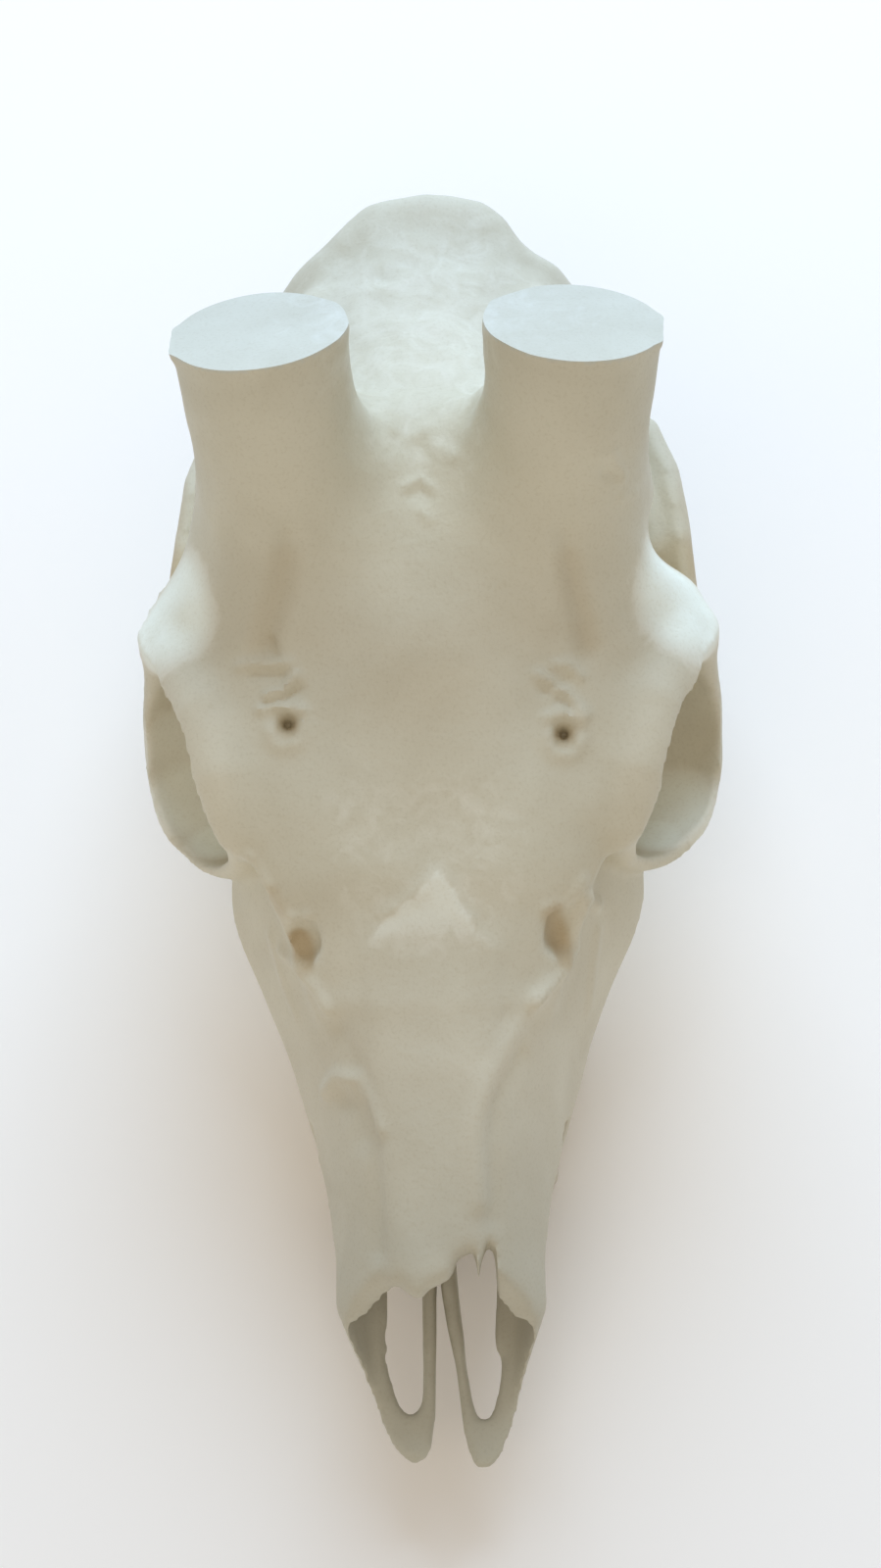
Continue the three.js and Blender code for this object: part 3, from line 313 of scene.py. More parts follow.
# The eye lies in a cup of thin bone that opens outwards, forwards and up, with the ring for its rim.
# The neck's two knuckles and the pegs beside them, that the skull stands on, are melted on too.
cup_facing = facing(0.78, -0.32, 0.54)
outwards = sum(q * (axis - c) for q, axis, c in zip(cup_facing, (X, Y, Z), socket_centre))
cup = trimmed(orb(socket_centre, [cup_radius] * 3), outwards - 1.2, 0.52 * HALF_WIDTH - X)
block = melt(block, cup, 0.03 * CROWN)
block = scoop(block, orb(socket_centre, [socket_radius] * 3), 1.2)
knuckle_radii = [9.0, 8.4, 10.6]
knuckle = spot([0.22, 1, 0.300]) - [0, knuckle_radii[1] + 0.1, 0]
block = melt(block, orb(knuckle, knuckle_radii), 3.0)
peg = [(spot([0.46, 0.905, 0.42]), 6.0), (spot([0.46, 0.925, 0.3]), 5.2), (spot([0.452, 0.936, 0.17]), 4.0),
       (spot([0.425, 0.939, 0.06]), 3.0), (spot([0.41, 0.94, 0.028]), 2.6)]
block = melt(block, limb(peg), 3.0)

# Holes for nerves and blood, round as in the bone: the tear pit, then one before the eye, the ear's and
# three in the base, and last the neck's and the throat's. The hollows are opened before those two.
tear_pit = limb([(spot([0.50, 0.375, 0.76]), 3.4), (spot([0.405, 0.352, 0.640]), 2.8)])
block = scoop(block, tear_pit, 2.4)
for start, end, radius in (
    ((27.5, 64, 36.5), (17, 78, 38), 2.3), ((40, 242, 50), (27, 242, 44), 3.0),
    ((12, 214, 20), (12, 206, 60), 2.4), ((15.5, 238, 16), (15.5, 236, 40), 2.0),
    ((14, 262, 38), (10, 250, 44), 1.6),
):
    block = scoop(block, rod(start, end, radius), 1.6)
block = trimmed(block, -nose_room, -brain_room)
neck_hole = rod(spot([0, 0.86, 0.440]), spot([0, 1.10, 0.330]), 10.5)
throat_hole = rod(spot([0, 0.570, 0.10]), spot([0, 0.547, 0.46]), 10.5)
block = scoop(scoop(block, neck_hole, 1.5), throat_hole, 2.0)


# Edges seen from above or from the side are drawn as outlines: the mouth's vault first, and after the
# halves are joined the snout's two tips, the slots in the palate and the nostril, which lean a little.
def outline_distance(points, u, v, rounds=0):
    points = np.array(points, dtype=float)
    for _ in range(rounds):
        after = np.roll(points, -1, axis=0)
        points = np.stack([points * 0.75 + after * 0.25, points * 0.25 + after * 0.75], 1).reshape(-1, 2)
    away = np.full(np.broadcast_shapes(u.shape, v.shape), 1e9)
    inside = np.zeros(away.shape, dtype=bool)
    for a, b in zip(points, np.roll(points, -1, axis=0)):
        d = b - a
        t = np.clip(((u - a[0]) * d[0] + (v - a[1]) * d[1]) / max(d @ d, 1e-9), 0, 1)
        away = np.minimum(away, (u - a[0] - d[0] * t) ** 2 + (v - a[1] - d[1] * t) ** 2)
        crosses = (a[1] > v) != (b[1] > v)
        inside ^= crosses & (u < a[0] + (v - a[1]) * d[0] / (d[1] if abs(d[1]) > 1e-9 else 1e-9))
    return (np.sqrt(away) * np.where(inside, -1, 1)).astype(np.float32)


def from_above(shares, rounds=0):
    points = [(p[0] * HALF_WIDTH, p[1] * LENGTH) for p in shares]
    return outline_distance(points, grid_x[:, None], grid_y[None, :], rounds)[:, :, None]


def from_beside(shares, rounds=0):
    points = [(p[0] * LENGTH, p[1] * CROWN) for p in shares]
    return outline_distance(points, grid_y[:, None], grid_z[None, :], rounds)[None, :, :]


vault_line = [[0.1, 0.2], [0.165, 0.245], [0.235, 0.33], [0.275, 0.42], [0.275, 0.6], [-0.275, 0.6],
              [-0.275, 0.42], [-0.235, 0.33], [-0.165, 0.245], [-0.1, 0.2]]
vault = np.maximum(from_above(vault_line, 1), Z - (0.225 * CROWN - 4.6))
block = scoop(block, vault, 2.5)

# Both halves are joined here. What follows differs between left and right, as in the cast: the slopes
# shaved off the nape, down to the case's own wall, and off the back of the right eye's shelf, then the
# snout's tips, the palate's slots, the nostril and the torn front edge of the nose.
block = np.concatenate([block[:0:-1], block])
grid_x = np.concatenate([-grid_x[:0:-1], grid_x])
X = grid_x[:, None, None]
nape_slopes = np.minimum(rod((31.7, 274.2, 70), (31.1, 254.5, 100), 14),
                         rod((-44.7, 291.3, 70), (-41.4, 270.8, 100), 30))
block = scoop(block, np.maximum(nape_slopes, -drawn_body(case_rows, 2.5, 2.2)), 1.5)
block = scoop(block, rod((54.9, 187.4, 75), (52.9, 169.3, 110), 7.5), 4.0)
tips_front = [[0, -0.1], [-0.6, -0.1], [-0.6, 0.105], [-0.336, 0.105], [-0.302, 0.085], [-0.27, 0.07],
              [-0.242, 0.052], [-0.22, 0.038], [-0.19, 0.024], [-0.15, 0.0125], [-0.115, 0.007],
              [-0.085, 0.0065], [-0.07, 0.009], [0, 0.009], [0.1, 0.0015], [0.125, 0.0015], [0.155, 0.002],
              [0.188, 0.01], [0.218, 0.024], [0.24, 0.04], [0.262, 0.061], [0.29, 0.08], [0.336, 0.105],
              [0.6, 0.105], [0.6, -0.1]]
block = scoop(block, np.maximum(from_above(tips_front), Z - 0.70 * CROWN), 1.0)
tips_gap = [[-0.078, -0.06], [-0.07, 0.009], [-0.059, 0.011], [-0.042, 0.02], [-0.03, 0.04],
            [-0.028, 0.064], [-0.027, 0.089], [-0.027, 0.114], [-0.027, 0.15], [-0.025, 0.176],
            [-0.009, 0.176], [-0.008, 0.14], [0.01, 0.113], [0.03, 0.089], [0.045, 0.064], [0.055, 0.039],
            [0.066, 0.022], [0.085, 0.01], [0.098, 0.002], [0.104, -0.06]]
slot_left = [[-0.09, 0.0455], [-0.104, 0.043], [-0.124, 0.043], [-0.151, 0.05], [-0.178, 0.072],
             [-0.197, 0.087], [-0.187, 0.092], [-0.196, 0.1], [-0.192, 0.112], [-0.19, 0.165],
             [-0.172, 0.1757], [-0.09, 0.1757], [-0.072, 0.165], [-0.072, 0.13], [-0.073, 0.089],
             [-0.075, 0.054]]
slot_right = [[0.108, 0.042], [0.126, 0.0378], [0.153, 0.04], [0.176, 0.054], [0.191, 0.07], [0.196, 0.083],
              [0.18, 0.089], [0.173, 0.098], [0.177, 0.112], [0.187, 0.165], [0.17, 0.1757],
              [0.058, 0.1757], [0.041, 0.165], [0.043, 0.146], [0.059, 0.113], [0.074, 0.083],
              [0.094, 0.054]]
slots = np.minimum.reduce([from_above(plan) for plan in (tips_gap, slot_left, slot_right)])
block = scoop(block, np.maximum(slots, Z - 0.30 * CROWN), 1.0)
nose_bite = [[0.048, 0.117], [0.057, 0.127], [0.08, 0.132], [0.112, 0.135], [0.124, 0.13], [0.13, 0.119],
             [0.137, 0.119], [0.142, 0.13]]
nose_outline = [[0, 0.386], [-0.239, 0.341], [-0.215, 0.24], [-0.19, 0.145], [-0.167, 0.113],
                [-0.13, 0.1145], [-0.104, 0.108], [-0.08, 0.104], [-0.057, 0.101], [-0.031, 0.109],
                [0.01, 0.112], *nose_bite, [0.152, 0.136], [0.205, 0.15], [0.215, 0.24], [0.239, 0.341]]
nose_plan = from_above(nose_outline)
nose_underside = 0.42 * CROWN
nostril_line = [[-0.1, 0.205], [0.000, 0.205], [0.043, 0.25], [0.09, 0.322], [0.108, 0.393], [0.12, 0.464],
                [0.128, 0.62], [-0.1, 0.62]]
nostril = np.maximum(from_beside(nostril_line), -np.maximum(nose_plan, nose_underside - Z))
block = scoop(block, nostril, 0.8)
tip_notch = [[0.048, 0.1], *nose_bite, [0.152, 0.139], [0.165, 0.1445], [0.176, 0.142], [0.184, 0.136],
             [0.19, 0.124], [0.19, 0.1]]
block = scoop(block, np.maximum(from_above(tip_notch), 0.36 * CROWN - Z), 0.6)
on_top = Z > nose_underside
block -= np.where(on_top, 0.55 * np.clip(0.5 - nose_plan / 5, 0, 1), 0).astype(np.float32)
block += np.where(on_top, 0.22 * np.exp(-(nose_plan / 0.8) ** 2), 0).astype(np.float32)


# Marks that the cast took over from the bone. Each follows a path over the skin, with its width and how
# far it stands out or, below zero, goes in: wrinkles over the brow holes, gutters before the stumps, the
# tear pits' sharp brows, folds down the upper jaws and the nose bones' edges.
def skin_spot(x, y, lift=0.0):
    i, j = int(round((x - grid_x[0]) / STEP)), int(round((y + front_air) / STEP))
    column = block[i, j]
    top = np.nonzero(column < 0)[0].max()
    share = column[top] / (column[top] - column[top + 1])
    rise = np.array([block[i + 1, j, top] - block[i - 1, j, top], block[i, j + 1, top] - block[i, j - 1, top],
                     block[i, j, top + 1] - block[i, j, top - 1]], dtype=float)
    return np.array([x, y, grid_z[top] + share * STEP]) + rise / np.linalg.norm(rise) * lift


gutter_left = ((-26.9, 167.1), (-27.6, 163.1), (-28.9, 158.7), (-31.2, 154.4), (-32.8, 150.7))
gutter_right = ((28.2, 166.2), (28.9, 162.1), (29.9, 157.7), (31.4, 153.3), (32.3, 149.4))
skin_marks = [
    (1.1, 1.3, ((-32.3, 141.7), (-28.6, 142.4), (-26.2, 145.2))),
    (1.1, 1.2, ((-33.6, 139.5), (-29.7, 140.1), (-24.7, 138.4))),
    (1.1, 0.8, ((-37.9, 148.4), (-32.5, 148.0), (-27.3, 147.4))),
    (1.1, 1.0, ((25.9, 145.9), (28.7, 146.4), (31.0, 144.1))),
    (1.2, 1.35, ((22.7, 143.9), (26.6, 141.5), (31.6, 137.2))),
    (1.2, 1.1, ((23.9, 135.8), (27.5, 137.4), (31.0, 135.6))),
    (1.9, 0.45, ((26.1, 164.2), (26.9, 160.6), (28.3, 157.0), (29.2, 153.3))),
    (1.6, 0.55, ((-8.9, 99.6), (-5.3, 101.3), (-1.3, 104.1), (1.5, 106.1), (3.8, 104.3), (5.9, 100.6),
                 (7.6, 98.3))),
    (1.3, 1.25, ((-36.7, 112.9), (-31.8, 105.7), (-28.3, 102.1), (-25.0, 101.5))),
    (1.5, 1.3, ((33.6, 107.4), (31.6, 104.6), (28.8, 97.5), (26.2, 91.4), (22.6, 88.2), (20.2, 84.6))),
    (1.3, 0.9, ((31.0, 107.0), (27.0, 103.4), (23.5, 101.2))),
    (1.6, 1.35, ((-31.0, 99.0), (-26.6, 92.7), (-23.2, 88.4), (-21.2, 84.4))),
    (1.5, 0.6, ((33.8, 103), (33, 97), (31.6, 90))), (1.5, 0.6, ((-34, 103), (-32, 96), (-29, 88))),
    (1.7, 1.3, ((-23.0, 71.2), (-19.8, 72.4), (-15.5, 70), (-12.6, 65.4), (-11.2, 60))),
    (2.4, 0.9, ((22.4, 88), (15.3, 77.1), (10.5, 68.5), (8.6, 61.8), (8.4, 55), (8.8, 46))),
    (2.4, -1.4, gutter_left), (2.6, -1.4, gutter_right), (13.0, -1.5, ((-1, 134), (-1.2, 122))),
    (3.2, -1.2, ((-19.5, 67.5), (-16, 65), (-14.6, 60))),
    (2.4, -0.9, ((-19, 80), (-14.8, 70), (-12.2, 60), (-12.0, 49), (-12.2, 38))),
    (2.4, -0.9, ((17.5, 74), (12.4, 64), (11.0, 57), (11.4, 49), (11.2, 43))),
    (1.1, -1.0, ((-32.4, 140.5), (-28.8, 141.1), (-25.6, 142.4))), (1.1, -0.8, ((-35, 146.4), (-29, 145.6))),
    (1.2, -1.2, ((27.2, 139.8), (28.6, 138.4))), (1.1, -1.0, ((-31.2, 151.3), (-30.4, 149.0))),
    (1.1, -0.9, ((24, 141.2), (28.5, 143.4))), (1.5, -0.8, ((-31.8, 106.2), (-30.7, 103.9))),
    (0.9, 0.4, ((-3.7, 179.5), (-0.2, 181.6), (2.2, 179.2))),
    (0.9, -0.3, ((-2.4, 178.0), (-0.4, 179.4), (1.6, 177.6))),
    (1.0, 0.35, ((-0.6, 175.3), (1.7, 173.2))), (1.1, 0.5, ((35.1, 175.8), (38.0, 177.0), (40.0, 175.4))),
    (1.0, -0.6, ((36.4, 174.4), (39.4, 174.6))), (1.0, 0.5, ((39.8, 173.2), (42.6, 175.6))),
    (1.5, 0.4, ((-6.5, 192.6), (-2.8, 190.0), (1.2, 191.8))), (1.6, 0.35, ((2.4, 188.2), (7.0, 184.6))),
]
mark_paths = [(width, lift, [skin_spot(x, y) for x, y in path]) for width, lift, path in skin_marks]
for radius, depth, path in ((1.7, 1.5, ((-27.4, 99.4), (-26.2, 96.5), (-25.6, 94.2))),
                            (1.7, 1.3, ((24.6, 100.6), (25.6, 97.6), (26.4, 94.6)))):
    block = scoop(block, limb([(skin_spot(x, y, radius - depth), radius) for x, y in path]), 1.0)
brow_holes = [skin_spot(-28.2, 135.4), skin_spot(27.4, 132.3)]
for brow in brow_holes:
    lip = [skin_spot(brow[0] + 3.2 * math.cos(turn), brow[1] + 3.3 * math.sin(turn))
           for turn in np.linspace(3.0, 6.4, 8)]
    block = melt(block, limb([(point, 0.95) for point in lip]), 1.8)
    block = scoop(block, rod(brow + [0, -0.4, 1.5], brow + [0, 1.5, -0.4], 1.5), 2.2)
    block = scoop(block, limb([(brow + [0, 0.6, 0.6], 1.0), (brow + [0, 2.4, -3.6], 1.3)]), 1.2)
burr_out = 17.3
for turn, side in ((-0.35, 1), (0.25, 1), (2.9, -1), (3.5, -1)):
    rim = stump_top * (side, 1, 1) + [burr_out * math.cos(turn), burr_out * math.sin(turn) * 0.83,
                                      -burr_out * math.sin(turn) * 0.56]
    lean = stump_lean * (side, 1, 1)
    block = melt(block, limb([(rim - lean * 2.2, 0.9), (rim + lean * 2.0, 1.5)]), 2.0)


# The cast's skin isn't even: it has a soft swell all over, and crumpled bone on the crown behind the
# stumps. Both are seeded noise, eased between the knots of a coarse grid.
def rumple(size, seed):
    rng = np.random.default_rng(seed)
    counts = [int(np.ptp(axis) / size) + 4 for axis in (grid_x, grid_y, grid_z)]
    swell = rng.standard_normal(counts).astype(np.float32)
    for axis in (grid_x, grid_y, grid_z):
        t = (axis - axis[0]) / size + 1
        i = np.floor(t).astype(int)
        f = (t - i).astype(np.float32)
        weights = np.zeros((len(axis), swell.shape[0]), dtype=np.float32)
        for k, w in enumerate(((1 - f) ** 3 / 6, (3 * f**3 - 6 * f**2 + 4) / 6,
                               (-3 * f**3 + 3 * f**2 + 3 * f + 1) / 6, f**3 / 6)):
            weights[np.arange(len(axis)), np.clip(i - 1 + k, 0, swell.shape[0] - 1)] += w
        swell = np.tensordot(weights, swell, (1, 0))
        swell = np.moveaxis(swell, 0, -1)
    return swell


def over_crown(x, y):
    return np.clip(1.6 - np.abs(y - 224) / 30, 0, 1) * np.clip(1.8 - np.abs(x) / 20, 0, 1)


block += rumple(15, 4) * 0.45 + rumple(6, 9) * 0.16 + rumple(3.4, 21) * 0.08
crumple = 1.2 * np.abs(rumple(5.2, 33)) + 0.9 * np.abs(rumple(3.6, 34)) - 0.55
block += over_crown(X, Y) * (Z > 60) * crumple


# The block's surface: one vertex in each grid cell that it crosses, and one face round each crossed
# edge. Cells in which two sheets of skin would meet at a point are filled first, so the skin is closed.
def unpinched(field):
    planes = ((0, 1), (1, 2), (0, 2))
    for _ in range(40):
        changed = False
        for p, q in planes:
            def corner(dp, dq):
                part = [slice(None)] * 3
                part[p], part[q] = (slice(1, None) if after else slice(None, -1) for after in (dp, dq))
                return tuple(part)
            inside = field < 0
            a, b, c, d = (inside[corner(*s)] for s in ((0, 0), (1, 0), (1, 1), (0, 1)))
            crossed = np.argwhere((a == c) & (b == d) & (a != b))
            for spot_at in crossed:
                ring = []
                for dp, dq in ((0, 0), (1, 0), (1, 1), (0, 1)):
                    at = spot_at.copy()
                    at[p] += dp
                    at[q] += dq
                    ring.append(tuple(at))
                outer = [at for at in ring if field[at] >= 0]
                if len(outer) == 2:
                    field[min(outer, key=lambda at: field[at])] = -0.05
                    changed = True
        inside = field < 0
        eight = [inside[i:inside.shape[0] - 1 + i, j:inside.shape[1] - 1 + j, k:inside.shape[2] - 1 + k]
                 for i, j, k in np.ndindex(2, 2, 2)]
        count = sum(e.astype(np.int8) for e in eight)
        for n in range(4):
            same = eight[n] == eight[7 - n]
            lone = same & (((count == 2) & eight[n]) | ((count == 6) & ~eight[n]))
            for i, j, k in np.argwhere(lone):
                cell = [(i + a, j + b, k + c) for a, b, c in np.ndindex(2, 2, 2)]
                outer = [at for at in cell if field[at] >= 0]
                field[min(outer, key=lambda at: field[at])] = -0.05
                changed = True
        if not changed:
            break
    return field


def skin_of(field, corner_point, pitch, name):
    field = unpinched(field)
    inside = field < 0
    corners = list(np.ndindex(2, 2, 2))
    shape = [n - 1 for n in field.shape]
    count = np.zeros(shape, dtype=np.int8)
    for i, j, k in corners:
        count += inside[i:shape[0] + i, j:shape[1] + j, k:shape[2] + k]
    cells = np.argwhere((count > 0) & (count < 8))
    number = np.full(shape, -1, dtype=np.int64)
    number[tuple(cells.T)] = np.arange(len(cells))
    value = np.stack([field[cells[:, 0] + i, cells[:, 1] + j, cells[:, 2] + k] for i, j, k in corners], 1)
    total, crossings = np.zeros((len(cells), 3)), np.zeros(len(cells))
    for a, ca in enumerate(corners):
        for b, cb in enumerate(corners):
            if a < b and sum(abs(p - q) for p, q in zip(ca, cb)) == 1:
                hit = (value[:, a] < 0) != (value[:, b] < 0)
                t = value[:, a] / np.where(hit, value[:, a] - value[:, b], 1)
                total += np.where(hit[:, None], np.array(ca) + t[:, None] * (np.array(cb) - np.array(ca)), 0)
                crossings += hit
    points = (cells + total / crossings[:, None]) * pitch + corner_point
    faces = []
    for axis in range(3):
        u, w = (axis + 1) % 3, (axis + 2) % 3
        here, there = [slice(1, -1)] * 3, [slice(1, -1)] * 3
        here[axis], there[axis] = slice(0, -1), slice(1, None)
        edge = np.argwhere(inside[tuple(here)] != inside[tuple(there)])
        out = inside[tuple(here)][tuple(edge.T)]
        edge = edge + 1
        edge[:, axis] -= 1
        quad = []
        for du, dw in ((-1, -1), (0, -1), (0, 0), (-1, 0)):
            at = edge.copy()
            at[:, u] += du
            at[:, w] += dw
            quad.append(number[tuple(at.T)])
        quad = np.stack(quad, 1)
        quad[~out] = quad[~out][:, ::-1]
        faces.append(quad)
    mesh = bpy.data.meshes.new(name)
    mesh.from_pydata(points / 1000, [], np.concatenate(faces))
    return mesh


corner_point = np.array([grid_x[0], grid_y[0] - MIDDLE, grid_z[0]], dtype=float)
cast_mesh = skin_of(block, corner_point, STEP, "cast")


# How sheltered each place is: the share of solid around it, near by and further off. The resins below paint
# shade into the hollows and tight creases from it, and make exposed edges paler.
def softened(field, cells):
    for axis in range(3):
        for _ in range(2):
            before = np.repeat(np.take(field, [0], axis), cells + 1, axis)
            after = np.repeat(np.take(field, [-1], axis), cells, axis)
            total = np.cumsum(np.concatenate([before, field, after], axis), axis)
            n = field.shape[axis]
            field = (np.take(total, np.arange(2 * cells + 1, n + 2 * cells + 1), axis)
                     - np.take(total, np.arange(0, n), axis)) / (2 * cells + 1)
    return field


solid_share = np.clip(0.5 - block[::2, ::2, ::2] / (2 * STEP), 0, 1)
shelter_near = softened(solid_share, max(round(1.5 / STEP), 1))
shelter_wide = softened(solid_share, round(5 / STEP))


def sheltered(points, shelter):
    at = np.clip((points * 1000 - corner_point) / (2 * STEP), 0, np.array(shelter.shape) - 1.001)
    i = at.astype(int)
    f = at - i
    total = np.zeros(len(points))
    for a, b, c in np.ndindex(2, 2, 2):
        weight = (np.where(a, f[:, 0], 1 - f[:, 0]) * np.where(b, f[:, 1], 1 - f[:, 1])
                  * np.where(c, f[:, 2], 1 - f[:, 2]))
        total += weight * shelter[i[:, 0] + a, i[:, 1] + b, i[:, 2] + c]
    return total


# The cast's resin: matt off-white, cloudy in patches, with fine dull speckle and a dry sanded skin. Light and
# shade
# are painted into it as well: painted shade in the hollows, the creases and brown spots, painted light along
# the length, darker towards the snout, paler exposed edges, and painted cool light on lit spots and on the
# sawn faces.
def wired(tree, kind, inputs, output, **traits):
    node = tree.nodes.new(kind)
    for trait, value in traits.items():
        setattr(node, trait, value)
    for socket, value in inputs.items():
        if hasattr(value, "is_linked"):
            tree.links.new(value, node.inputs[socket])
        else:
            node.inputs[socket].default_value = value
    return node.outputs[output]


def resin(name, pale, dull, shade, roughness):
    material = bpy.data.materials.new(name)
    material.use_nodes = True
    tree = material.node_tree
    where = wired(tree, "ShaderNodeTexCoord", {}, "Object")
    black, white = (0, 0, 0), (1, 1, 1)

    def grain(scale, detail, distortion=0.0):
        return wired(tree, "ShaderNodeTexNoise", {"Scale": scale, "Detail": detail, "Distortion": distortion,
                                                  "Vector": where}, "Fac")

    def kept_on_mesh(label):
        return wired(tree, "ShaderNodeAttribute", {}, "Fac", attribute_name=label)

    def spread(source, low, high, to_low=0.0, to_high=1.0):
        return wired(tree, "ShaderNodeMapRange", {"Value": source, "From Min": low, "From Max": high,
                                                  "To Min": to_low, "To Max": to_high}, "Result")

    def ramp(source, *stops):
        node = tree.nodes.new("ShaderNodeValToRGB")
        while len(node.color_ramp.elements) < len(stops):
            node.color_ramp.elements.new(0.5)
        for element, (place, colour) in zip(node.color_ramp.elements, stops):
            element.position = place
            element.color = (*colour, 1)
        tree.links.new(source, node.inputs["Fac"])
        return node.outputs["Color"]

    def tinted(colour, tint, amount=1.0):
        return wired(tree, "ShaderNodeMix", {0: amount, 6: colour, 7: tint}, 2, data_type="RGBA",
                     blend_type="MULTIPLY")

    def bumped(strength, distance, height, **under):
        return wired(tree, "ShaderNodeBump", {"Strength": strength, "Distance": distance, "Height": height,
                                              **under}, "Normal")

    cloud = ramp(grain(38, 3.0, 0.6), (0.34, dull), (0.66, pale))
    speck = ramp(grain(1500, 2.0), (0.30, (0.95, 0.94, 0.92)), (0.46, white), (1.0, (1.02, 1.02, 1.02)))
    # Painted shade: darker and browner where much solid lies around a place, as in the hollows.
    hollow_painted_shade = ramp(kept_on_mesh("shelter_wide"), (0.58, white), (0.84, shade))
    # Paler on exposed edges, and painted shade, darker and browner, in tight creases.
    pale_edges_and_crease_shade = ramp(kept_on_mesh("shelter_near"), (0.30, (1.06, 1.06, 1.07)), (0.46, white), (0.56, white),
                (0.80, (0.86, 0.82, 0.76)))
    # Painted light along the length: darker towards the snout, where less light reaches, lighter in bands
    # between, and a little darker and cooler at the back.
    lengthwise = wired(tree, "ShaderNodeSeparateXYZ", {"Vector": where}, "Y")
    lengthwise_painted_light = ramp(spread(lengthwise, -0.138, 0.115), (0.0, (0.81, 0.82, 0.81)), (0.14, (0.84, 0.84, 0.83)),
                   (0.28, (1.03, 1.02, 1.01)), (0.44, (1.05, 1.04, 1.01)), (0.60, (1.03, 1.02, 1.0)),
                   (0.68, (1.075, 1.075, 1.055)), (1.0, (0.93, 0.95, 0.96)))
    colour = tinted(tinted(tinted(tinted(cloud, speck), hollow_painted_shade), pale_edges_and_crease_shade), lengthwise_painted_light)
    # Painted shade: brown spots in the holes, pits and gutters, over the forehead's band and along the cheek
    # bars.
    stained = ramp(kept_on_mesh("stained"), (0.0, black), (1.0, white))
    colour = tinted(colour, (0.80, 0.68, 0.53, 1), stained)
    # Painted light: cool, paler patches where the window's light falls, stronger still where the value is
    # high.
    bared = kept_on_mesh("bared")
    patchy_painted_cool_light = wired(tree, "ShaderNodeMath", {0: grain(125, 6.0, 2.2), 1: 0.9, 2: bared}, 0,
                   operation="MULTIPLY_ADD")
    colour = tinted(colour, (1.12, 1.14, 1.20, 1), ramp(patchy_painted_cool_light, (0.64, black), (1.06, white)))
    colour = tinted(colour, (1.25, 1.38, 1.52, 1), spread(bared, 0.4, 1.5))
    # Painted light: the sawn faces are tinted cooler, as if lit more by the cool window.
    colour = tinted(colour, (0.93, 0.985, 1.08, 1), kept_on_mesh("filed"))
    rough = spread(grain(120, 4.0), 0.3, 0.7, roughness - 0.06, roughness + 0.08)
    fine = bumped(0.16, 0.0004, grain(700, 5.0))
    broad = bumped(0.10, 0.0012, grain(230, 3.0, 0.8), Normal=fine)
    for source, label in ((colour, "Base Color"), (rough, "Roughness"), (broad, "Normal")):
        tree.links.new(source, tree.nodes["Principled BSDF"].inputs[label])
    return material


cast_resin = resin("cast_resin", (0.630, 0.590, 0.468), (0.578, 0.534, 0.414), (0.68, 0.59, 0.48), 0.62)


# The sanded skin is one rule, for the whole block before it is parted and for what is cast beside it:
# the surface is rubbed smooth once or twice, and each point then goes a little out or in along its own
# normal. The marks of the bone are raised on the block's skin last.
def sanding_tree():
    tree = bpy.data.node_groups.new("sanded_skin", "GeometryNodeTree")
    for label, kind, value in (
        ("Geometry", "Geometry", None), ("Grain Size", "Float", 0.004), ("Grain Depth", "Float", 0.0001),
        ("Seed", "Float", 3.0), ("Rubbing", "Int", 1), ("Resin", "Material", None),
    ):
        dial = tree.interface.new_socket(label, in_out="INPUT", socket_type="NodeSocket" + kind)
        if value is not None:
            dial.default_value = value
    tree.interface.new_socket("Geometry", in_out="OUTPUT", socket_type="NodeSocketGeometry")
    given, made = tree.nodes.new("NodeGroupInput").outputs, tree.nodes.new("NodeGroupOutput").inputs
    place = wired(tree, "GeometryNodeInputPosition", {}, 0)
    normal = wired(tree, "GeometryNodeInputNormal", {}, 0)
    scale = wired(tree, "ShaderNodeMath", {0: 1.0, 1: given["Grain Size"]}, 0, operation="DIVIDE")
    noise = wired(tree, "ShaderNodeTexNoise", {"Scale": scale, "Detail": 2.0, "W": given["Seed"],
                                               "Vector": place}, "Fac", noise_dimensions="4D")
    centred = wired(tree, "ShaderNodeMath", {0: noise, 1: 0.5}, 0, operation="SUBTRACT")
    depth = wired(tree, "ShaderNodeMath", {0: centred, 1: given["Grain Depth"]}, 0, operation="MULTIPLY")
    push = wired(tree, "ShaderNodeVectorMath", {0: normal, "Scale": depth}, 0, operation="SCALE")
    even = tree.nodes.new("GeometryNodeBlurAttribute")
    even.data_type = "FLOAT_VECTOR"
    tree.links.new(place, next(socket for socket in even.inputs if socket.name == "Value" and socket.enabled))
    tree.links.new(given["Rubbing"], even.inputs["Iterations"])
    evened = next(socket for socket in even.outputs if socket.enabled)
    rubbed = wired(tree, "GeometryNodeSetPosition", {"Geometry": given["Geometry"], "Position": evened}, 0)
    moved = wired(tree, "GeometryNodeSetPosition", {"Geometry": rubbed, "Offset": push}, 0)
    real = wired(tree, "GeometryNodeRealizeInstances", {"Geometry": moved}, 0)
    finish = wired(tree, "GeometryNodeSetMaterial", {"Geometry": real, "Material": given["Resin"]}, 0)
    tree.links.new(finish, made["Geometry"])
    return tree


def finished_mesh(holder, name):
    bpy.context.view_layer.update()
    mesh = bpy.data.meshes.new_from_object(holder.evaluated_get(bpy.context.evaluated_depsgraph_get()))
    mesh.name = name
    bpy.data.objects.remove(holder)
    return mesh


sanding = sanding_tree()


